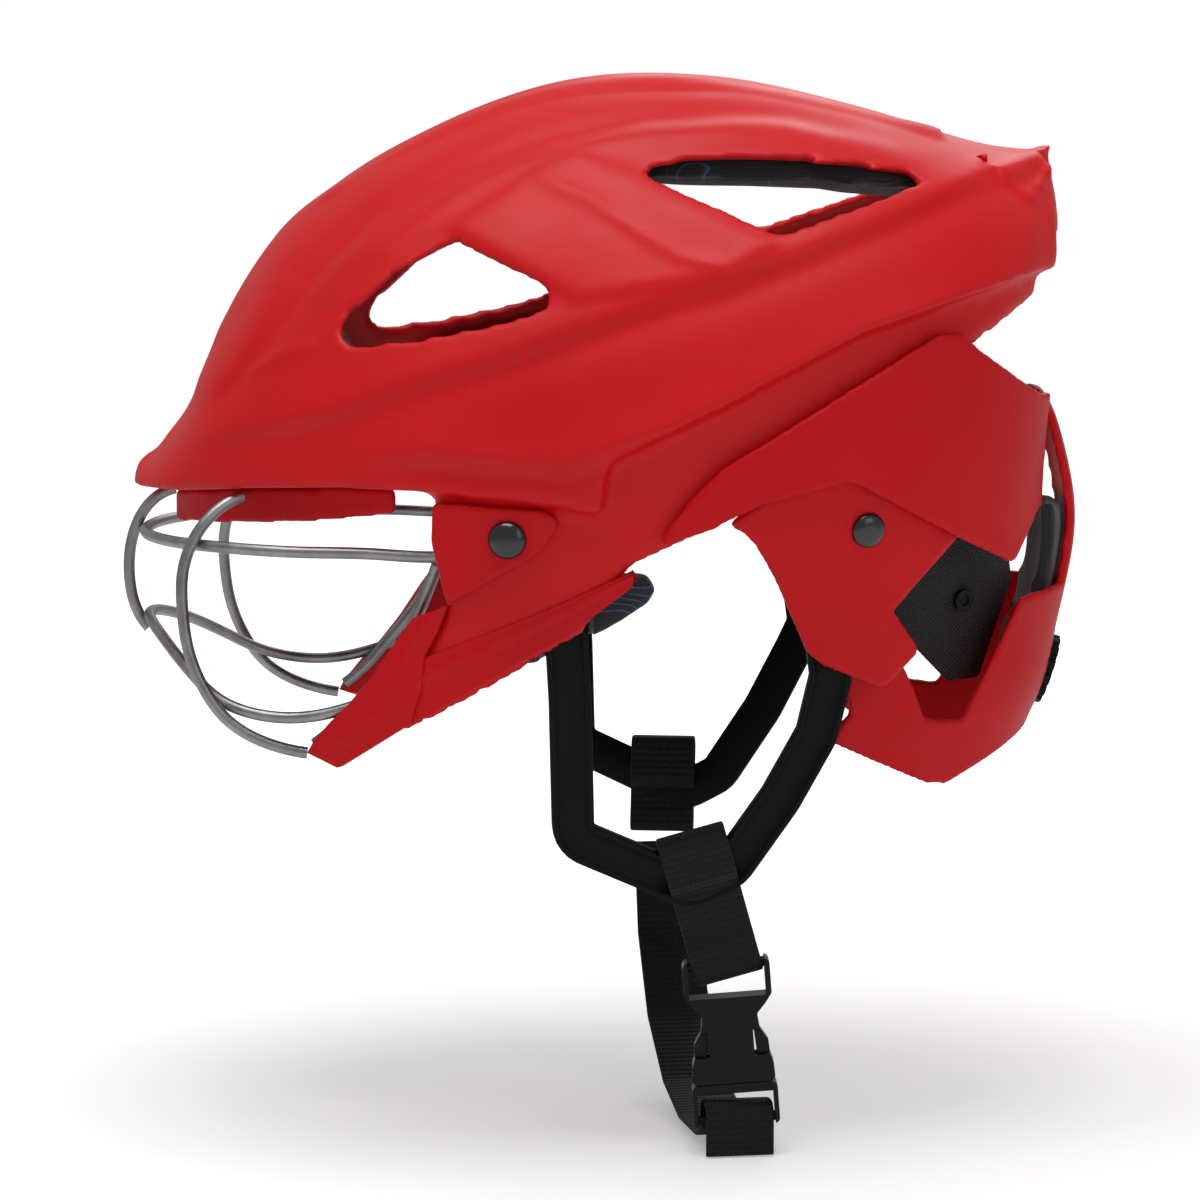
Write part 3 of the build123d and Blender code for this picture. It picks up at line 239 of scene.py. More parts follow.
def liner_cloth(name):
    """Knitted dark blue-grey jersey over foam: 1.2 mm knit, thin pale and blue contour lines, soft sheen."""
    material, tree, shader = finish_named(name)
    here = put(tree, "ShaderNodeTexCoord").outputs["Object"]
    field = put(tree, "ShaderNodeTexNoise", {"Vector": here, "Scale": per_mm(34), "Detail": 1.0,
                                             "Roughness": 0.4})
    steps = put(tree, "ShaderNodeMath", {0: field.outputs["Fac"], 1: 26.0}, operation="MULTIPLY")
    band = put(tree, "ShaderNodeMath", {0: steps.outputs[0]}, operation="FRACT")
    thin = put(tree, "ShaderNodeMapRange", {"Value": band.outputs[0], "From Min": 0.82, "From Max": 0.94})
    patch = put(tree, "ShaderNodeTexNoise", {"Vector": here, "Scale": per_mm(22), "Detail": 0.0})
    where = put(tree, "ShaderNodeMapRange", {"Value": patch.outputs["Fac"], "From Min": 0.48,
                                             "From Max": 0.56})
    lines = put(tree, "ShaderNodeMath", {0: thin.outputs["Result"], 1: where.outputs["Result"]},
                operation="MULTIPLY")
    tint = put(tree, "ShaderNodeTexNoise", {"Vector": here, "Scale": per_mm(45), "Detail": 0.0})
    line_colour = put(tree, "ShaderNodeValToRGB", {"Fac": tint.outputs["Fac"]},
                      stops=[(0.42, "#4d5257"), (0.55, "#2f5f8a")]).outputs["Color"]
    mixed = put(tree, "ShaderNodeMix", data_type="RGBA")
    tree.links.new(lines.outputs[0], mixed.inputs["Factor"])
    base = put(tree, "ShaderNodeValToRGB", {"Fac": field.outputs["Fac"]},
               stops=[(0.3, "#14181c"), (0.6, "#1d2227")]).outputs["Color"]
    tree.links.new(base, mixed.inputs["A"])
    tree.links.new(line_colour, mixed.inputs["B"])
    tree.links.new(mixed.outputs["Result"], shader.inputs["Base Color"])
    knit = put(tree, "ShaderNodeTexVoronoi", {"Vector": here, "Scale": per_mm(1.2), "Randomness": 0.35})
    bump = put(tree, "ShaderNodeBump", {"Height": knit.outputs["Distance"], "Strength": 1.0,
                                        "Distance": 0.2 * MM}, invert=True)
    tree.links.new(bump.outputs["Normal"], shader.inputs["Normal"])
    shader.inputs["Roughness"].default_value = 0.85
    shader.inputs["Sheen Weight"].default_value = 0.35
    shader.inputs["Sheen Roughness"].default_value = 0.5
    return material


liner_fabric = liner_cloth("knitted_jersey_liner")


# Spacing of the webbing's ribs and of its yarns, in millimetres
RIB_SPACING, YARN_SPACING = 1.9, 1.3


def woven(name):
    """Polyester webbing: ribs across the strap and yarns along it, on the piece's own UV in mm."""
    material, tree, shader = finish_named(name)
    flat = put(tree, "ShaderNodeTexCoord").outputs["UV"]
    parts = put(tree, "ShaderNodeSeparateXYZ", {"Vector": flat})
    along = put(tree, "ShaderNodeMath", {0: parts.outputs["Y"], 1: 2 * math.pi / RIB_SPACING},
                operation="MULTIPLY")
    across = put(tree, "ShaderNodeMath", {0: parts.outputs["X"], 1: 2 * math.pi / YARN_SPACING},
                 operation="MULTIPLY")
    rib = put(tree, "ShaderNodeMath", {0: along.outputs[0]}, operation="SINE")
    yarn = put(tree, "ShaderNodeMath", {0: across.outputs[0]}, operation="SINE")
    weave = put(tree, "ShaderNodeMath", {0: rib.outputs[0], 1: yarn.outputs[0]}, operation="MULTIPLY")
    height = put(tree, "ShaderNodeMath", {0: rib.outputs[0], 1: weave.outputs[0]}, operation="ADD")
    # Painted shade and highlight: the colour follows the weave's height, darker in the hollows and paler on
    # the raised ribs and yarns
    level = put(tree, "ShaderNodeMapRange", {"Value": height.outputs[0], "From Min": -2.0, "From Max": 2.0})
    colour = put(tree, "ShaderNodeValToRGB", {"Fac": level.outputs["Result"]},
                 stops=[(0.0, "#040406"), (0.5, "#09090c"), (1.0, "#141419")]).outputs["Color"]
    tree.links.new(colour, shader.inputs["Base Color"])
    bump = put(tree, "ShaderNodeBump", {"Height": level.outputs["Result"], "Strength": 1.0,
                                        "Distance": 0.4 * MM})
    tree.links.new(bump.outputs["Normal"], shader.inputs["Normal"])
    shader.inputs["Roughness"].default_value = 0.72
    shader.inputs["Specular IOR Level"].default_value = 0.3
    shader.inputs["Sheen Weight"].default_value = 0.08
    return material


webbing_cloth = woven("woven_polyester_webbing")

finishes = {
    "shell_red": shell_red, "lobe_red": lobe_red, "guard_red": guard_red, "jaw_red": jaw_red,
    "black_plastic": black_nylon, "cage_wire": cage_wire, "fastener": fastener_black,
    "liner_fabric": liner_fabric, "yoke_rubber": yoke_rubber, "webbing": webbing_cloth,
}


def dress(obj, material):
    """Gives a piece one material in place of those that it has."""
    obj.data.materials.clear()
    obj.data.materials.append(material)


slots = {}
for part in frame["record"]["subparts"]:
    slots[part["node"]] = part.get("material_slot") or part.get("material")
for name, obj in nodes.items():
    dress(obj, finishes.get(slots.get(name), black_nylon))
for name in ("carrier_left", "carrier_right"):
    dress(nodes[name], carrier_black)
for name in ("buckle_female", "buckle_male", "buckle_prong_front", "buckle_prong_rear"):
    dress(nodes[name], buckle_black)


# Mesh helpers: every new piece is a surface on a grid of two parameters, put in the mesh as whole arrays
def show(name, points, faces, material, body, uv=None, smooth=True):
    """A mesh object from points in millimetres and faces as index rows, riding on a body."""
    mesh = bpy.data.meshes.new(name)
    mesh.from_pydata((points * MM).tolist(), [], faces.tolist() if hasattr(faces, "tolist") else faces)
    if uv is not None:
        layer = mesh.uv_layers.new(name="UVMap")
        layer.data.foreach_set("uv", uv.astype(np.float32).ravel())
    mesh.polygons.foreach_set("use_smooth", [smooth] * len(mesh.polygons))
    mesh.update()
    obj = bpy.data.objects.new(name, mesh)
    bpy.context.scene.collection.objects.link(obj)
    dress(obj, material)
    if body:
        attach(obj, body)
    return obj


def grid_faces(rows, columns, wrap_rows, wrap_columns):
    """Quads of a grid of rows by columns; wrapped ways join the last line to the first."""
    i = np.arange(rows if wrap_rows else rows - 1)
    j = np.arange(columns if wrap_columns else columns - 1)
    i, j = (a.ravel() for a in np.meshgrid(i, j, indexing="ij"))
    up, on = (i + 1) % rows, (j + 1) % columns
    return np.stack([i * columns + j, i * columns + on, up * columns + on, up * columns + j], axis=1)


def unit(vectors):
    """Vectors divided by their lengths."""
    return vectors / np.linalg.norm(vectors, axis=-1, keepdims=True)


def rounded_line(corners, radius, spacing):
    """Line through corners, each turned by an arc of the radius, then points at an even spacing along it."""
    corners = np.asarray(corners, float)
    pieces = [corners[:1]]
    for before, corner, after in zip(corners[:-2], corners[1:-1], corners[2:]):
        back, ahead = unit(before - corner), unit(after - corner)
        half = 0.5 * math.acos(float(np.clip(back @ ahead, -1, 1)))
        run = radius / math.tan(half)
        centre = corner + unit(back + ahead) * radius / math.sin(half)
        first, last = corner + back * run - centre, corner + ahead * run - centre
        sweep = math.pi - 2 * half
        share = np.linspace(0, 1, 9)[:, None]
        arc = (np.sin((1 - share) * sweep) * first + np.sin(share * sweep) * last) / math.sin(sweep)
        pieces.append(centre + arc)
    line = np.vstack(pieces + [corners[-1:]])
    return evened(line, spacing)


def run_along(line):
    """Length of a line up to each of its points: the sums of the steps between them."""
    return np.concatenate([[0.0], np.cumsum(np.linalg.norm(np.diff(line, axis=0), axis=1))])


def spread(line, count):
    """A count of evenly spaced points along a line, each coordinate read off against the run along it."""
    run = run_along(line)
    places = np.linspace(0.0, run[-1], count)
    return np.stack([np.interp(places, run, line[:, k]) for k in range(line.shape[1])], axis=1)


def evened(line, spacing):
    """Points along a line at the even spacing nearest to the one given."""
    return spread(line, max(int(round(run_along(line)[-1] / spacing)), 2) + 1)


def headings(line, closed=False):
    """Direction of a line at each point, from its neighbours on either side."""
    if closed:
        return unit(np.roll(line, -1, axis=0) - np.roll(line, 1, axis=0))
    ahead = np.vstack([line[1:], line[-1:]])
    behind = np.vstack([line[:1], line[:-1]])
    return unit(ahead - behind)


def carried(name, line, across, rise, profile, material, body, closed=False):
    """A profile carried along a line: point = line + profile x times across + profile y times rise.
    Ends are closed by one face each, and UV holds millimetres round the profile and along the line."""
    rows, columns = len(line), len(profile)
    points = line[:, None] + profile[None, :, :1] * across[:, None] + profile[None, :, 1:] * rise[:, None]
    points = points.reshape(-1, 3)
    faces = grid_faces(rows, columns, closed, True)
    loop = np.vstack([profile, profile[:1]])
    round_run = run_along(loop)
    path = np.vstack([line, line[:1]]) if closed else line
    long_run = run_along(path)
    i, j = np.divmod(np.arange(len(faces)), columns)
    quad = ((j, i), (j + 1, i), (j + 1, i + 1), (j, i + 1))
    uv = np.stack([np.stack([round_run[a], long_run[b]], 1) for a, b in quad], axis=1).reshape(-1, 2)
    face_list = faces.tolist()
    if not closed:
        face_list.append(list(range(columns))[::-1])
        face_list.append(list(range((rows - 1) * columns, rows * columns)))
        caps = np.vstack([profile[::-1], profile])
        uv = np.vstack([uv, caps])
    return show(name, points, face_list, material, body, uv)


def rounded_bar(width, thickness, corner, steps=4):
    """Outline of a flat bar with round corners: four quarter circles joined by straight sides."""
    half = np.array([width / 2 - corner, thickness / 2 - corner])
    turn = np.linspace(0, math.pi / 2, steps + 1)
    quarter = np.stack([np.cos(turn), np.sin(turn)], 1) * corner
    corners = []
    for quadrant, sign in enumerate([(1, 1), (-1, 1), (-1, -1), (1, -1)]):
        angle = quadrant * math.pi / 2
        spin = np.array([[math.cos(angle), math.sin(angle)], [-math.sin(angle), math.cos(angle)]])
        corners.append(quarter @ spin + half * np.array(sign))
    return np.vstack(corners)


def turned(name, profile, origin, axis, material, body, steps=48):
    """Surface of revolution with poles at both ends, from profile rows of (radius, height):
    point = origin + radius (cos a side + sin a other) + height axis."""
    axis = unit(np.asarray(axis, float))
    side = unit(np.cross(axis, [0.0, 0.0, 1.0]))
    other = np.cross(axis, side)
    turn = np.linspace(0, 2 * math.pi, steps, endpoint=False)
    ring = np.cos(turn)[:, None] * side + np.sin(turn)[:, None] * other
    profile = np.asarray(profile, float)
    inner = profile[1:-1]
    points = np.asarray(origin, float) + inner[:, None, :1] * ring[None] + inner[:, None, 1:] * axis
    points = points.reshape(-1, 3)
    rows = len(inner)
    poles = np.asarray(origin, float) + profile[[0, -1], 1][:, None] * axis
    j = np.arange(steps)
    after, first, top_row = (j + 1) % steps, rows * steps, (rows - 1) * steps
    lower = np.stack([np.full(steps, first), after, j], 1)
    upper = np.stack([np.full(steps, first + 1), top_row + j, top_row + after], 1)
    faces = grid_faces(rows, steps, False, True).tolist() + lower.tolist() + upper.tolist()
    return show(name, np.vstack([points, poles]), faces, material, body)


def places_of(mesh):
    """The places of a mesh's points, in metres."""
    co = np.empty(len(mesh.vertices) * 3)
    mesh.vertices.foreach_get("co", co)
    return co.reshape(-1, 3)


def normals_of(mesh):
    """The way that the surface faces at each of a mesh's points."""
    facing = np.empty(len(mesh.vertices) * 3, np.float32)
    mesh.vertex_normals.foreach_get("vector", facing)
    return facing.reshape(-1, 3)


def settled(obj):
    """The object's mesh with all its modifiers worked in."""
    graph = bpy.context.evaluated_depsgraph_get()
    graph.update()
    return bpy.data.meshes.new_from_object(obj.evaluated_get(graph))


def merged_copy(source):
    """A CAD node's mesh with its loose triangles joined."""
    mesh = nodes[source].data.copy()
    work = bmesh.new()
    work.from_mesh(mesh)
    bmesh.ops.remove_doubles(work, verts=work.verts, dist=1e-5)
    work.to_mesh(mesh)
    work.free()
    return mesh


# Outer form of the crown: place along the length, ridge height and height of the widest point, in shares
# of the length and the height
CROWN_STATIONS = np.array([
    (-0.505, 0.226, 0.205), (-0.480, 0.296, 0.220), (-0.443, 0.386, 0.232), (-0.410, 0.524, 0.245),
    (-0.353, 0.687, 0.262), (-0.280, 0.795, 0.282), (-0.178, 0.896, 0.303), (-0.040, 0.980, 0.315),
    (0.115, 0.990, 0.380), (0.280, 0.932, 0.490), (0.404, 0.866, 0.575), (0.477, 0.835, 0.610)])
# Widest place seen from above, reach of the skin in front of it and behind it, in shares of the length,
# and the power of the curve on either side
WIDEST, FRONT_REACH, REAR_REACH = 0.038, 0.546, 0.462
FRONT_POWER, REAR_POWER = 2.0, 2.4
# Distance of the main view's camera in mm, and the sine and cosine of its tilt of 5.7 degrees
CAMERA_REACH, TILT_SIN, TILT_COS = 1230.0, 0.0993, 0.99506


def through(x, places, values):
    """Smooth curve through table values: cubic pieces with central difference slopes."""
    slope = np.gradient(values, places)
    k = np.clip(np.searchsorted(places, x) - 1, 0, len(places) - 2)
    step = places[k + 1] - places[k]
    t = np.clip((x - places[k]) / step, 0.0, 1.0)
    return ((1 + 2 * t) * (1 - t) ** 2 * values[k] + t * (1 - t) ** 2 * step * slope[k]
            + t * t * (3 - 2 * t) * values[k + 1] + t * t * (t - 1) * step * slope[k + 1])


def half_width(x, inset, limit):
    """Half width of the crown seen from above, an inset in mm inside its skin:
    W/2 (1 - (|x - x0|/r)^p)^(1/p), with its own reach r and power p on either side of the widest place x0."""
    front = x < WIDEST * LENGTH
    reach = np.where(front, FRONT_REACH, REAR_REACH) * LENGTH - inset
    power = np.where(front, FRONT_POWER, REAR_POWER)
    along = np.clip(np.abs(x - WIDEST * LENGTH) / reach, 0.0, limit)
    return (WIDTH / 2 - inset) * (1 - along ** power) ** (1 / power)


def station_height(x, column):
    """Height in mm at each place x, from the ridge's column (1) or the widest point's (2) of the stations."""
    return through(x / LENGTH, CROWN_STATIONS[:, 0], CROWN_STATIONS[:, column]) * HEIGHT


def crown_level(points):
    """Share of the way out to the crown's skin: the root of (y/w)^2 + ((z-m)/(t-m))^2 at each place x."""
    x, y, z = points.T
    top, middle = station_height(x, 1), station_height(x, 2)
    width = half_width(x, 0.0, 0.999)
    rise = np.maximum(z - middle, 0.0) / np.maximum(top - middle, 2.0)
    return np.sqrt((y / width) ** 2 + rise ** 2)


def crown_depth(points):
    """Distance in mm outside the crown's skin, (level - 1) / |slope|, and the slope's direction, outwards."""
    level = crown_level(points)
    slope = np.stack([(crown_level(points + step) - crown_level(points - step))
                      for step in 0.5 * np.eye(3)], axis=1)
    steep = np.maximum(np.linalg.norm(slope, axis=1), 1e-4)
    return (level - 1) / steep, slope / steep[:, None]


def as_seen(points):
    """Places in mm in the main view's picture plane, of a point or its mirror image on the near side:
    (x, sin y + cos z) / s, with s = 1 + (cos y - sin z) / reach."""
    x, y, z = points.T
    near = -np.abs(y)
    scale = 1 + (TILT_COS * near - TILT_SIN * z) / CAMERA_REACH
    return np.stack([x / scale, (TILT_SIN * near + TILT_COS * z) / scale], axis=1)


def off_line(seen, line):
    """Signed distance of seen places from a line of corners, positive on its left, and the share along it."""
    best = np.full(len(seen), 1e9)
    signed, share = np.zeros(len(seen)), np.zeros(len(seen))
    line = np.array(line, dtype=float)
    lengths = np.linalg.norm(np.diff(line, axis=0), axis=1)
    gone = np.concatenate([[0.0], np.cumsum(lengths)])
    for k, (start, end) in enumerate(zip(line[:-1], line[1:])):
        way = (end - start) / lengths[k]
        t = np.clip((seen - start) @ way, 0.0, lengths[k])
        gap = seen - start - t[:, None] * way
        far = np.linalg.norm(gap, axis=1)
        nearer = far < best
        side = np.sign(way[0] * gap[:, 1] - way[1] * gap[:, 0])
        best = np.where(nearer, far, best)
        signed = np.where(nearer, side * far, signed)
        share = np.where(nearer, (gone[k] + t) / gone[-1], share)
    return signed, share


# Share of a crease's length over which it dies out at either end
FADE_SHARE = 0.12


def faded(share):
    """Full along the middle of a line, and down to nothing in a straight ramp at its ends."""
    return np.clip(np.minimum(share, 1 - share) / FADE_SHARE, 0.0, 1.0)


def bell(distance, wide):
    """exp(-(distance / wide)^2): 1 on a line and near nothing two widths from it."""
    return np.exp(-(distance / wide) ** 2)


def inside_outline(seen, outline, edge):
    """1 inside a convex outline and 0 outside: 1/(1 + exp(-depth/edge)), depth and soft edge in mm."""
    outline = np.array(outline, dtype=float)
    turned_way = np.roll(outline, -1, axis=0) - outline
    turned_way /= np.linalg.norm(turned_way, axis=1, keepdims=True)
    depth = np.full(len(seen), 1e9)
    for start, way in zip(outline, turned_way):
        depth = np.minimum(depth, way[1] * (seen[:, 0] - start[0]) - way[0] * (seen[:, 1] - start[1]))
    return 1 / (1 + np.exp(-np.clip(depth / edge, -30, 30)))


# Creases of the moulded crown in the picture plane, in mm, drawn from front to back
CENTRE_GROOVE = [(-105, 63), (-89, 88), (-67, 110), (-44, 122), (-15, 133), (13, 139), (36, 140), (55, 139),
                 (84, 132), (93, 129)]
VENT_RIDGE = [(-84, 93), (-62, 101), (-39, 116), (-20, 125), (11, 132), (46, 136), (74, 132), (98, 124)]
FLANK_CREASE = [(-122, 43), (-103, 46), (-77, 52), (-52, 61), (-25, 69), (-1, 78), (23, 86), (34, 89),
                (55, 97), (74, 105), (93, 113), (112, 123), (126, 129)]
LOWER_RIDGE = [(-72, 38.5), (-48, 41), (-29, 38.5), (-8, 37.6), (7, 43.6), (17, 46.5), (46, 56), (74, 68),
               (93, 78), (112, 88), (122, 93)]
BROW_CREASE = [(-113.5, 56), (-105, 66), (-94, 81), (-85, 92)]
VENT_LEAD = [(-103, 64.7), (-88, 71), (-80, 72.7)]
BRIDGE = [(-43, 106), (-17, 122.5), (-6, 126), (8.5, 122.5), (50, 101.5), (36, 91), (-6.5, 85.5)]
BRIDGE_FOLD = [(-19, 120.5), (-4, 115), (23, 98), (39, 93.5)]
FIN = [(84, 110), (100, 117.5), (114, 124), (131, 130)]
# Rounded creases: line, height and half width in mm
ROUND_CREASES = ((CENTRE_GROOVE, -1.3, 3.2), (VENT_RIDGE, 0.9, 4.0), (LOWER_RIDGE, 1.3, 2.6),
                 (VENT_LEAD, 0.7, 1.8), (BRIDGE_FOLD, 0.8, 1.8))
# Steps, high above the line and low below it: line, height, width of the step and of its run-out in mm
STEP_CREASES = ((FLANK_CREASE, 1.2, 1.6, 9.0), (BROW_CREASE, 0.8, 1.4, 7.0), (LOWER_RIDGE, 1.6, 2.0, 9.0))
FIN_HEIGHT, FIN_WIDTH = 5.0, 3.4
BRIDGE_HEIGHT, BRIDGE_EDGE = 1.3, 0.8


def crown_relief(points):
    """Height in mm of the moulded creases over the plain skin: bells and soft steps about the crease lines,
    a fin that rises with the square of the share along it, and the raised bridge."""
    seen = as_seen(points)
    height = np.zeros(len(seen))
    for line, tall, wide in ROUND_CREASES:
        signed, share = off_line(seen, line)
        height += tall * bell(signed, wide) * faded(share)
    for line, tall, sharp, wide in STEP_CREASES:
        signed, share = off_line(seen, line)
        height += tall * np.tanh(signed / sharp) * bell(signed, wide) * faded(share)
    signed, share = off_line(seen, FIN)
    height += FIN_HEIGHT * share ** 2 * bell(signed, FIN_WIDTH)
    return height + BRIDGE_HEIGHT * inside_outline(seen, BRIDGE, BRIDGE_EDGE)


# Where the fins stand, behind and above these places in mm, and how far off the skin a point may lie there
# and elsewhere and still be moved
FIN_FRONT, FIN_FOOT = 95.0, 104.0
FIN_MOVE, SKIN_MOVE = 8.0, 3.2
# Places in mm where the moves start and end along the crown, and the runs over which they come in
FRONT_END, FRONT_RUN, REAR_END, REAR_RUN = -128.0, 6.0, 127.0, 4.0


def sculpted(mesh):
    """The crown's outer skin moved onto the formula's form and its relief: move = (relief - depth) times a
    share that is nothing on inner faces and on rims, far off the skin and past either end."""
    points, turned_out = places_of(mesh) / MM, normals_of(mesh)
    depth, outwards = crown_depth(points)
    facing = np.sum(turned_out * outwards, axis=1)
    at_fins = (points[:, 0] > FIN_FRONT) & (points[:, 2] > FIN_FOOT)
    furthest = np.where(at_fins, FIN_MOVE, SKIN_MOVE)
    upright = np.where(at_fins, 0.0, 0.25)
    share = np.clip((facing - upright) / 0.35, 0.0, 1.0) * np.clip(furthest - np.abs(depth), 0.0, 1.0)
    middle = station_height(points[:, 0], 2)
    share *= (np.clip((points[:, 0] - FRONT_END) / FRONT_RUN, 0.0, 1.0)
              * np.clip((REAR_END - points[:, 0]) / REAR_RUN, 0.0, 1.0))
    share *= np.clip((points[:, 2] - middle + 12.0) / 8.0, 0.0, 1.0)
    move = (crown_relief(points) - depth) * share
    mesh.vertices.foreach_set("co", ((points + outwards * move[:, None]) * MM).ravel())
    mesh.update()


# Shares of the way to the neighbours' mean that a point goes in each round, in and then back out
PULL_IN, PUSH_OUT = 0.5, -0.53


def faired(mesh, rounds):
    """Each point moved towards its neighbours' mean and back out, p + k (mean - p), so that rims turn smooth
    and walls keep their size."""
    ends = np.empty(len(mesh.edges) * 2, dtype=np.int64)
    mesh.edges.foreach_get("vertices", ends)
    a, b = ends.reshape(-1, 2).T
    points = places_of(mesh)
    many = len(points)
    near = np.maximum(np.bincount(a, minlength=many) + np.bincount(b, minlength=many), 1)
    for _ in range(rounds):
        for pull in (PULL_IN, PUSH_OUT):
            total = np.stack([np.bincount(a, points[b, k], many) + np.bincount(b, points[a, k], many)
                              for k in range(3)], axis=1)
            points = points + pull * (total / near[:, None] - points)
    mesh.vertices.foreach_set("co", points.ravel())
    mesh.update()


def softened(name, source, voxel, rounds, body, slot_name):
    """A moulded shell: the solid in even quads, its rims faired smooth and its corners rounded."""
    obj = bpy.data.objects.new(name, merged_copy(source))
    bpy.context.scene.collection.objects.link(obj)
    remesh = obj.modifiers.new("even_quads", "REMESH")
    remesh.mode, remesh.voxel_size = "VOXEL", voxel * MM
    obj.data = settled(obj)
    obj.modifiers.clear()
    faired(obj.data, rounds)
    if source == "crown_shell":
        sculpted(obj.data)
        even = obj.modifiers.new("even_out", "SMOOTH")
        even.factor, even.iterations = 0.4, 3
        obj.data = settled(obj)
        obj.modifiers.clear()
    obj.data.polygons.foreach_set("use_smooth", [True] * len(obj.data.polygons))
    obj.data.update()
    dress(obj, finishes[slot_name])
    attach(obj, body)
    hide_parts(source)


# Moulded shells: piece, CAD node, size of the quads in mm, rounds of smoothing, body and slot
for name, source, voxel, rounds, body, slot_name in (
        ("moulded_crown", "crown_shell", 1.65, 30, "helmet", "shell_red"),
        # The lobe_red slot is the shell red painted darker as shade, on the rear shells, the brow rail and
        # the cradle
        ("moulded_rear_left", "rear_shell_left", 1.0, 30, "helmet", "lobe_red"),
        ("moulded_rear_right", "rear_shell_right", 1.0, 30, "helmet", "lobe_red"),
        ("moulded_ear_left", "ear_guard_left", 1.0, 30, "helmet", "guard_red"),
        ("moulded_ear_right", "ear_guard_right", 1.0, 30, "helmet", "guard_red"),
        ("moulded_bracket_left", "cage_bracket_left", 0.7, 20, "helmet", "guard_red"),
        ("moulded_bracket_right", "cage_bracket_right", 0.7, 20, "helmet", "guard_red"),
        ("moulded_brow_rail", "brow_rail", 1.0, 20, "helmet", "lobe_red"),
        ("moulded_cradle", "rear_cradle", 1.0, 30, "cradle", "lobe_red")):
    softened(name, source, voxel, rounds, body, slot_name)

# Share of its greatest half width that the side wall keeps at its foot, at the crown's stations
FOOT_SHARES = np.array([1.0, 1.0, 1.0, 1.0, 1.0, 1.0, 0.99, 0.94, 0.87, 0.87, 0.88, 0.88])
# Level of that foot as a share of the height, the first guess of y in mm, and the steps that refine it
FOOT_LEVEL, FIRST_GUESS, WALL_STEPS = -0.35, -80.0, 20


def on_wall(seen, inset):
    """Points on the crown's left side wall, an inset in mm inside it, seen at places in the picture plane.

    The wall is |y| = w(x) (1 - (1 - f(x)) (m - z)/(m - s)) below the widest height m, with the foot's share f
    and its level s; the place is found by repeated steps.
    """
    seen = np.array(seen, dtype=float)
    inset = np.broadcast_to(inset, seen.shape[:-1])
    y, z = np.full(seen.shape[:-1], FIRST_GUESS), seen[..., 1]
    for _ in range(WALL_STEPS):
        scale = 1 + (TILT_COS * y - TILT_SIN * z) / CAMERA_REACH
        x = seen[..., 0] * scale
        z = (seen[..., 1] * scale - TILT_SIN * y) / TILT_COS
        middle = station_height(x, 2)
        foot = np.interp(x / LENGTH, CROWN_STATIONS[:, 0], FOOT_SHARES)
        down = np.clip((middle - z) / (middle - FOOT_LEVEL * HEIGHT), 0.0, 1.0)
        y = -half_width(x, inset, 0.99) * (1 - (1 - foot) * down)
    return np.stack([x, y, z], axis=-1)


def side_plate(name, upper, lower, inset, thick, raised, replaced=()):
    """Moulded plate on both side walls: a ruled strip between two edges, point = upper (1-t) + lower t,
    laid on the wall, with a relief raised(s, t) in mm outwards, then given its thickness and soft rims."""
    many, across = 48, 17
    t = np.linspace(0.0, 1.0, across)
    seen = (spread(upper, many)[:, None, :] * (1 - t)[None, :, None] + spread(lower, many)[:, None, :]
            * t[None, :, None])
    s, t = np.meshgrid(np.linspace(0.0, 1.0, many), t, indexing="ij")
    grid = on_wall(seen, inset - raised(s, t))
    for side, ending in ((1.0, "_left"), (-1.0, "_right")):
        points = grid.reshape(-1, 3) * (1.0, side, 1.0)
        k = np.arange((many - 1) * (across - 1))
        start = k // (across - 1) * across + k % (across - 1)
        faces = np.stack([start, start + 1, start + across + 1, start + across], axis=1)
        first = points[faces[0]]
        facing = np.cross(first[1] - first[0], first[2] - first[0])[1]
        if facing * side > 0:
            faces = faces[:, ::-1]
        obj = show(name + ending, points, faces, jaw_red, "helmet")
        solid = obj.modifiers.new("wall", "SOLIDIFY")
        solid.thickness, solid.offset = thick * MM, -1.0
        rim = obj.modifiers.new("rim", "BEVEL")
        rim.width, rim.segments, rim.limit_method, rim.angle_limit = 0.5 * MM, 2, "ANGLE", math.radians(50)
        for node in replaced:
            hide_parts(node + ending)


# Middle of the 1200 by 1200 frame in pixels, and the size of a pixel in the picture plane in mm
FRAME_MIDDLE, PIXEL = 600, 0.285


def pixels(*corners):
    """Places in the picture plane in mm, from columns and rows of the 1200 by 1200 frame."""
    return np.array([((u - FRAME_MIDDLE) * PIXEL, (FRAME_MIDDLE - v) * PIXEL) for u, v in corners])


def cap_ridge(s, t):
    """The jaw cap's one ridge: a bell about t = 0.45 that dies out at both ends by a half sine's root."""
    return bell(t - 0.45, 0.16) * np.sin(np.pi * s) ** 0.5


def rail_creases(s, t):
    """The cheek rail's two creases, the same all along s: bells about t = 0.3 and near the upper edge."""
    return 0.9 * bell(t - 0.3, 0.12) + 0.6 * bell(t - 0.05, 0.06)


# Jaw guard cap, from the bracket forwards: a moulded band with a lengthwise ridge over the wires' ends
JAW_CAP_TOP = pixels((413, 618), (395, 642), (372, 676), (350, 703), (330, 722), (313, 742), (307, 753))
JAW_CAP_FOOT = pixels((447, 606), (437, 632), (424, 657), (421, 690), (410, 724), (372, 747), (337, 768))
side_plate("jaw_cap", JAW_CAP_TOP, JAW_CAP_FOOT, inset=3.0, thick=3.6, raised=cap_ridge,
           replaced=("jaw_guard",))
# Rail along the cheek's lower edge, from the jaw backwards: a raised strip with two creases
CHEEK_RAIL_TOP = pixels((423, 658), (493, 632), (560, 605), (610, 582), (635, 572))
CHEEK_RAIL_FOOT = pixels((409, 726), (460, 696), (513, 665), (573, 632), (632, 588))
side_plate("cheek_rail", CHEEK_RAIL_TOP, CHEEK_RAIL_FOOT, inset=4.0, thick=2.4, raised=rail_creases)


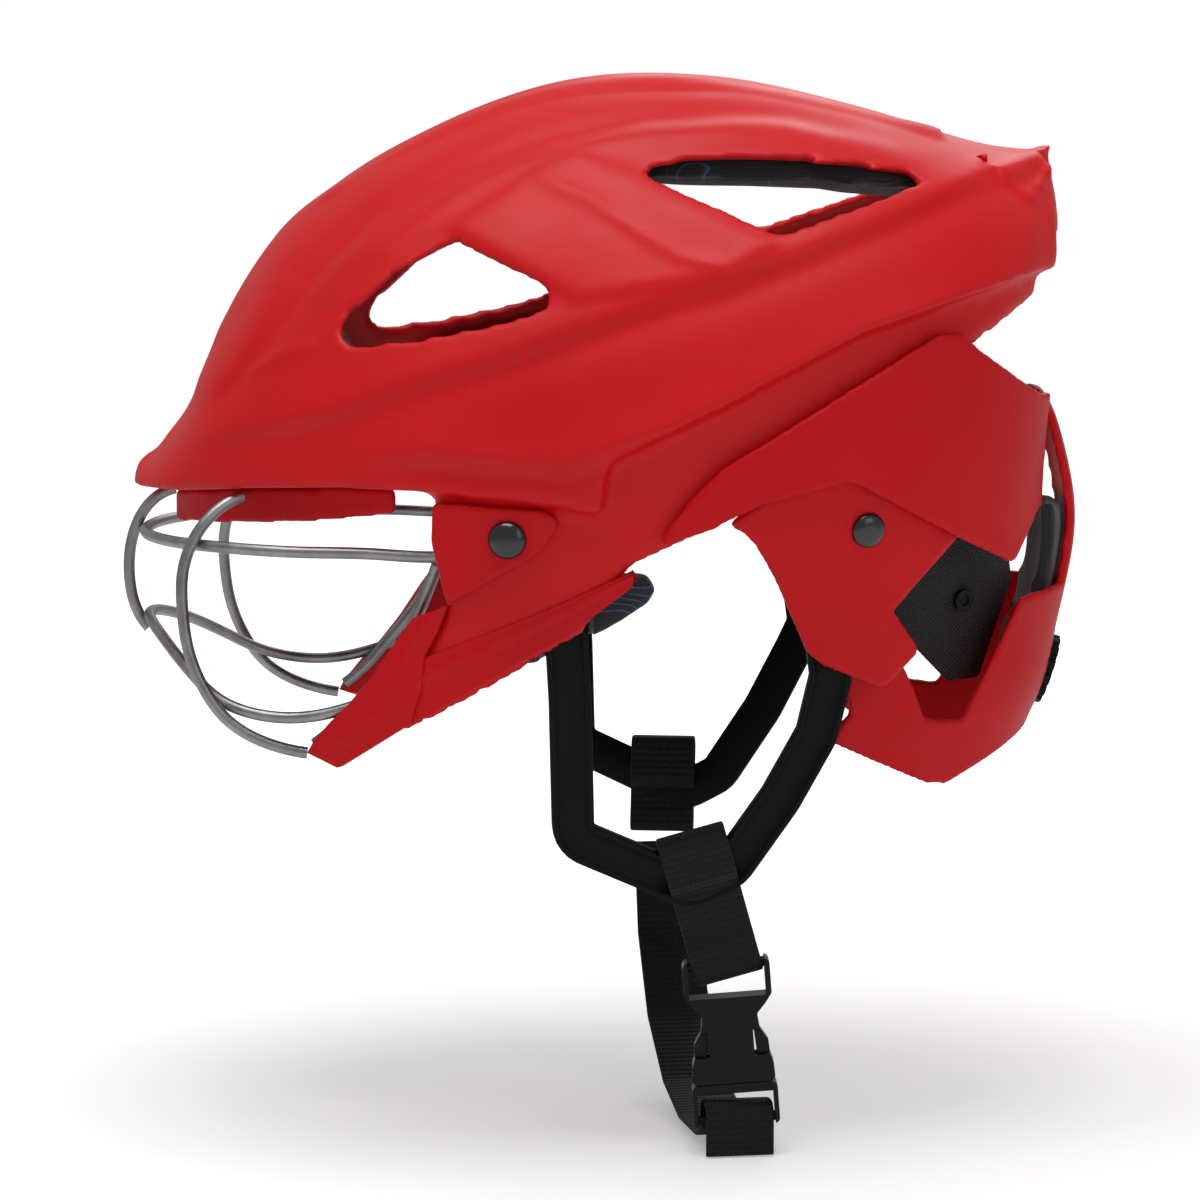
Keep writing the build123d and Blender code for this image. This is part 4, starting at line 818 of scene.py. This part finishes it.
# Chin strap yokes: a flat rubber band with a raised rim along each edge, in a plane that leans inwards
def from_shares(shares):
    """Points in millimetres from length, half width and height shares, on the wearer's left."""
    return np.array([(x * LENGTH, -y * WIDTH / 2, z * HEIGHT) for x, y, z in shares])


# Three places in the yoke's plane, and its route in side view, in shares of length, half width and height
yoke_places = from_shares([(-0.035, 0.807, 0.000), (0.238, 0.722, -0.067), (0.077, 0.625, -0.467)])
yoke_out = unit(np.cross(yoke_places[1] - yoke_places[0], yoke_places[2] - yoke_places[0]))
yoke_out = yoke_out * (1 if yoke_out[1] < 0 else -1)
yoke_path = np.array([(-0.041, 0.168), (-0.035, 0.000), (-0.031, -0.133), (-0.028, -0.390), (0.096, -0.487),
                      (0.137, -0.450), (0.188, -0.320), (0.225, -0.200), (0.239, -0.090), (0.233, -0.010)])
YOKE_WIDTH, YOKE_THICKNESS, YOKE_BEND, YOKE_RISE = 11.5, 3.6, 7.0, 9.0
RIM, RIM_DEPTH = 1.7, 0.9


def on_yoke_plane(shares, rise=0.0):
    """Points of the yoke's plane at places in side view: y = y0 - (nx (x - x0) + nz (z - z0)) / ny."""
    x, z = shares[:, 0] * LENGTH, shares[:, 1] * HEIGHT
    z = z + np.where(shares[:, 1] < yoke_path[2, 1], rise, 0.0)
    lean = yoke_out[0] * (x - yoke_places[0, 0]) + yoke_out[2] * (z - yoke_places[0, 2])
    y = yoke_places[0, 1] - lean / yoke_out[1]
    return np.stack([x, y, z], axis=1)


half, top = YOKE_WIDTH / 2, YOKE_THICKNESS / 2
yoke_profile = np.array([
    (-half + 0.5, -top), (half - 0.5, -top), (half - 0.1, -top + 0.2), (half, -top + 0.6), (half, top - 0.5),
    (half - 0.15, top - 0.15), (half - 0.5, top), (half - RIM + 0.3, top), (half - RIM, top - 0.2),
    (half - RIM - 0.3, top - RIM_DEPTH), (-half + RIM + 0.3, top - RIM_DEPTH), (-half + RIM, top - 0.2),
    (-half + RIM - 0.3, top), (-half + 0.5, top), (-half + 0.15, top - 0.15), (-half, top - 0.5),
    (-half, -top + 0.6), (-half + 0.1, -top + 0.2)])
MIRROR = np.array([1.0, -1.0, 1.0])
for side, rise, mirrored in (("left", 0.0, False), ("right", YOKE_RISE, True)):
    line = rounded_line(on_yoke_plane(yoke_path, rise), YOKE_BEND, 1.5)
    across = np.cross(yoke_out, headings(line))
    out = np.repeat(yoke_out[None], len(line), axis=0)
    if mirrored:
        line, across, out = ((rows * MIRROR)[::-1] for rows in (line, across, out))
    yoke = carried("yoke_band_" + side, line, across, out, yoke_profile, yoke_rubber, "helmet")
    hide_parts("yoke_" + side)

# Webbing: sewn loops round the yokes, and the strap under the chin to the buckle. The buckle leans and the
# strap turns by these angles, and the buckle's bar lies this far below its middle
WEB_WIDTH, WEB_THICKNESS = 19.0, 1.5
web_profile = rounded_bar(WEB_WIDTH, WEB_THICKNESS, 0.7, 3)
BUCKLE_TILT, STRAP_TURN = math.radians(4.4), math.radians(9.2)
BUCKLE_UP = np.array([-math.sin(BUCKLE_TILT), 0.0, math.cos(BUCKLE_TILT)])
BUCKLE_PLACE = np.array([0.139 * LENGTH, -0.557 * WIDTH / 2, -0.778 * HEIGHT])
BAR_REACH = 21.6


def loop_line(length, head, foot, pinch, head_run, foot_run):
    """Closed loop seen from its edge: half height head over the yoke, eased by half a cosine to the sewn
    pinch, then opened to foot round the bar; both ends are half circles. Columns: run down, height."""
    down = np.linspace(0, length, 60)
    near = np.clip((down - head_run) / (0.45 * head_run), 0, 1)
    far = np.clip((length - foot_run - down) / (0.9 * foot_run), 0, 1)
    height = pinch + (head - pinch) * (0.5 + 0.5 * np.cos(math.pi * near))
    height = np.where(down > length / 2, pinch + (foot - pinch) * (0.5 + 0.5 * np.cos(math.pi * far)), height)
    turn = np.linspace(-math.pi / 2, math.pi / 2, 13)[1:-1]
    bottom = np.stack([length + foot * np.cos(turn[::-1]), foot * np.sin(turn[::-1])], 1)
    upper = np.stack([-head * np.cos(turn), head * np.sin(turn)], 1)
    return np.vstack([np.stack([down, height], 1), bottom, np.stack([down, -height], 1)[::-1], upper])


def sewn_loop(name, top_place, foot_place, mirrored, head, foot, pinch, head_run, foot_run):
    """A loop line laid in the plane of the yoke's normal and the way down, with the web's width across it."""
    down = unit(foot_place - top_place)
    wide = np.cross(down, yoke_out)
    flat = loop_line(np.linalg.norm(foot_place - top_place), head, foot, pinch, head_run, foot_run)
    line = top_place + flat[:, :1] * down + flat[:, 1:] * yoke_out
    ahead = headings(line, True)
    wide = np.repeat(wide[None], len(line), axis=0)
    out = np.cross(ahead, wide)
    if mirrored:
        line, wide, out = ((rows * MIRROR)[::-1] for rows in (line, wide, out))
    return carried(name, line, wide, out, web_profile, webbing_cloth, "helmet", True)


left_top, left_foot = on_yoke_plane(np.array([(0.0970, -0.403), (0.1345, -0.640)]))
left_loop = sewn_loop("webbing_loop_left", left_top, left_foot, False, head=3.1, foot=2.6, pinch=0.95,
                      head_run=9.0, foot_run=6.0)
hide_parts("webbing_left")
right_top, right_foot = on_yoke_plane(np.array([(0.0735, -0.341), (0.0715, -0.490)]))
right_loop = sewn_loop("webbing_loop_right", right_top, right_foot, True, head=3.1, foot=1.4, pinch=0.95,
                       head_run=9.0, foot_run=3.0)
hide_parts("webbing_right")

strap_along = np.array([-math.sin(STRAP_TURN), math.cos(STRAP_TURN), 0.0])
strap_wide = np.array([math.cos(STRAP_TURN), math.sin(STRAP_TURN), 0.0])
foot_bar = BUCKLE_PLACE - BAR_REACH * BUCKLE_UP
# Corners of the strap's route from the right loop to the buckle's bar, in shares of half width and height
strap_shares = np.array([
    (1.179, -0.523), (1.115, -0.700), (0.937, -0.847), (0.667, -0.940), (0.401, -0.973),
    (0.141, -0.967), (0.045, -0.943), (0.045, -0.891), (-0.045, -0.891), (-0.045, -0.985)])
corners = (foot_bar * (1, 1, 0) + strap_shares[:, :1] * WIDTH / 2 * strap_along
           + strap_shares[:, 1:] * HEIGHT * np.array([0.0, 0.0, 1.0]))
line = rounded_line(corners, 3.2, 1.2)
ahead = headings(line)
wide = np.repeat(strap_wide[None], len(line), axis=0)
strap = carried("webbing_chin_strap", line, wide, np.cross(ahead, wide), web_profile, webbing_cloth, None)
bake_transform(strap)
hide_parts("webbing_right")

# Domed screw heads of the cage and domed rivets of the ear guards, shanks included: radius and height in mm
screw_head = [(0, -13.0), (2.5, -13.0), (2.5, 0.0), (5.05, 0.0), (5.1, 0.35), (5.0, 0.8), (4.5, 1.5),
              (3.6, 2.1), (2.4, 2.45), (1.2, 2.58), (0, 2.6)]
rivet_head = [(0, -17.0), (4.7, -17.0), (4.7, -15.0), (2.4, -15.0), (2.4, 0.0), (4.65, 0.0), (4.7, 0.35),
              (4.6, 0.8), (4.1, 1.4), (3.2, 1.85), (2.0, 2.12), (1.0, 2.2), (0, 2.2)]
# Seats in mm on the wearer's left, and the ways that the heads face
SCREW_SEAT, SCREW_WAY = np.array([-24.447, -90.26, 24.898]), np.array([-0.1362, -0.9901, -0.0324])
RIVET_SEAT, RIVET_WAY = np.array([71.259, -80.332, 26.693]), np.array([0.3772, -0.9169, -0.1302])
for side, mirror in (("left", np.ones(3)), ("right", MIRROR)):
    for name, profile, seat, way, replaced in (
            ("cage_screw_", screw_head, SCREW_SEAT, SCREW_WAY, "cage_screws"),
            ("ear_rivet_", rivet_head, RIVET_SEAT, RIVET_WAY, "ear_rivets")):
        head = turned(name + side, profile, seat * mirror, way * mirror, fastener_black, "helmet")
        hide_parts(replaced)


# Frames that the cloth swells for, its pressure and stiffness, and how far it may swell as a share of the
# distance that the pad was taken in by
SWELL_FRAMES, PRESSURE, STRETCH_STIFFNESS, BEND_STIFFNESS, SWELL_LIMIT = 12, 4.0, 40.0, 2.0, 1.3


# Padding: each pad is its solid's form taken in a little, blown up by cloth pressure and held to its room
def stuffed(name, source, voxel, take_in, body):
    """A pad: the solid merged and remeshed in even quads, moved inwards along its normals, then swollen."""
    obj = bpy.data.objects.new(name, merged_copy(source))
    bpy.context.scene.collection.objects.link(obj)
    remesh = obj.modifiers.new("even_quads", "REMESH")
    remesh.mode, remesh.voxel_size = "VOXEL", voxel * MM
    smooth = obj.modifiers.new("round_off", "SMOOTH")
    smooth.factor, smooth.iterations = 0.5, 6
    obj.data = settled(obj)
    obj.modifiers.clear()
    start = places_of(obj.data) - normals_of(obj.data) * take_in * MM
    obj.data.vertices.foreach_set("co", start.ravel())
    obj.data.update()
    cloth = obj.modifiers.new("stuffing", "CLOTH")
    cloth.settings.use_pressure = True
    cloth.settings.uniform_pressure_force = PRESSURE
    cloth.settings.effector_weights.gravity = 0.0
    cloth.settings.tension_stiffness = STRETCH_STIFFNESS
    cloth.settings.compression_stiffness = STRETCH_STIFFNESS
    cloth.settings.bending_stiffness = BEND_STIFFNESS
    for step in range(1, SWELL_FRAMES + 1):
        bpy.context.scene.frame_set(step)
    swollen = settled(obj)
    moved = places_of(swollen) - start
    far = np.linalg.norm(moved, axis=1, keepdims=True)
    moved *= np.minimum(1.0, SWELL_LIMIT * take_in * MM / np.maximum(far, 1e-9))
    obj.modifiers.clear()
    obj.data.vertices.foreach_set("co", (start + moved).ravel())
    bpy.context.scene.frame_set(1)
    obj.data.polygons.foreach_set("use_smooth", [True] * len(obj.data.polygons))
    obj.data.update()
    finer = obj.modifiers.new("finer", "SUBSURF")
    finer.levels = finer.render_levels = 1
    dress(obj, liner_fabric)
    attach(obj, body)
    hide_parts(source)


# Pads: piece, CAD node, size of the quads and distance taken in in mm, body and fill
for name, source, voxel, take_in, body, fill in (
        ("padded_crown_liner", "crown_liner", 4.0, 1.2, "helmet", 0.6),
        ("padded_side_liner_left", "side_liner_left", 3.0, 1.0, "helmet", 0.6),
        ("padded_side_liner_right", "side_liner_right", 3.0, 1.0, "helmet", 0.6),
        ("padded_brow", "brow_pad", 3.5, 1.2, "helmet", 0.7),
        ("padded_cheek_left", "cheek_pad_left", 2.2, 0.9, "helmet", 0.7),
        ("padded_cheek_right", "cheek_pad_right", 2.2, 0.9, "helmet", 0.7),
        ("padded_nape", "nape_pad", 2.5, 0.8, "cradle", 0.6)):
    stuffed(name, source, voxel, take_in, body)

# Stage: a pale floor under a world that the camera sees as white, in metres
FLOOR_GAP, FLOOR_REACH = 0.0005, 4.0
floor_level = cad_box[0][2] - FLOOR_GAP
floor_mesh = bpy.data.meshes.new("floor")
floor_mesh.from_pydata([(across * FLOOR_REACH, along * FLOOR_REACH, floor_level)
                        for across, along in ((-1, -1), (1, -1), (1, 1), (-1, 1))], [], [[0, 1, 2, 3]])
floor = bpy.data.objects.new("floor", floor_mesh)
bpy.context.scene.collection.objects.link(floor)
floor_paint, tree, shader = finish_named("pale_studio_floor")
shader.inputs["Base Color"].default_value = linear("#f4f4f4")
shader.inputs["Roughness"].default_value = 0.9
shader.inputs["Specular IOR Level"].default_value = 0.1
# The camera sees the floor glow more the further it lies from the object, so that it meets the white world
here = put(tree, "ShaderNodeTexCoord").outputs["Object"]
away = put(tree, "ShaderNodeVectorMath", {0: here}, operation="LENGTH")
lift = put(tree, "ShaderNodeMapRange", {"Value": away.outputs["Value"], "From Min": 0.15, "From Max": 0.9,
                                        "To Min": 0.3, "To Max": 0.75}, interpolation_type="SMOOTHSTEP")
path = put(tree, "ShaderNodeLightPath")
shown = put(tree, "ShaderNodeMath", {0: lift.outputs["Result"], 1: path.outputs["Is Camera Ray"]},
            operation="MULTIPLY")
glow = put(tree, "ShaderNodeEmission", {"Color": linear("#ffffff"), "Strength": shown.outputs[0]})
both = put(tree, "ShaderNodeAddShader", {0: shader.outputs[0], 1: glow.outputs[0]})
output = next(node for node in tree.nodes if node.bl_idname == "ShaderNodeOutputMaterial")
tree.links.new(both.outputs[0], output.inputs["Surface"])
floor.data.materials.append(floor_paint)

# The world lights the object with a soft fill and shows the camera plain white
world = bpy.data.worlds.new("studio")
bpy.context.scene.world = world
world.use_nodes = True
tree = world.node_tree
tree.nodes.clear()
path = put(tree, "ShaderNodeLightPath")
fill = put(tree, "ShaderNodeBackground", {"Color": linear("#ffffff"), "Strength": 0.36})
white = put(tree, "ShaderNodeBackground", {"Color": linear("#ffffff"), "Strength": 1.0})
mix = put(tree, "ShaderNodeMixShader", {0: path.outputs["Is Camera Ray"], 1: fill.outputs[0],
                                        2: white.outputs[0]})
put(tree, "ShaderNodeOutputWorld", {"Surface": mix.outputs[0]})


def lamp(name, place, size, power):
    """Square soft box at a place, facing the origin; metres and watts."""
    data = bpy.data.lights.new(name, "AREA")
    data.energy = power
    data.size = size
    obj = bpy.data.objects.new(name, data)
    bpy.context.scene.collection.objects.link(obj)
    obj.location = place
    obj.rotation_euler = (-Vector(place)).to_track_quat("-Z", "Y").to_euler()


lamp("overhead", (-0.15, -0.35, 1.4), size=0.9, power=12)
lamp("side_fill", (0.9, -1.1, 0.5), size=0.7, power=1.5)
lamp("back_fill", (0.3, 1.3, 0.9), size=0.8, power=4)

# Camera at the photograph's place and angle: lens and sensor in mm, place in metres
LENS, SENSOR = 129.47, 36.0
CAMERA_PLACE, CAMERA_PITCH = (0.0, -1.2239, 0.12214), math.radians(84.3)
camera_data = bpy.data.cameras.new("camera")
camera_data.lens = LENS
camera_data.sensor_width = SENSOR
camera = bpy.data.objects.new("camera", camera_data)
bpy.context.scene.collection.objects.link(camera)
camera.location = CAMERA_PLACE
camera.rotation_euler = (CAMERA_PITCH, 0.0, 0.0)
bpy.context.scene.camera = camera

bpy.context.scene.view_settings.view_transform = "Standard"
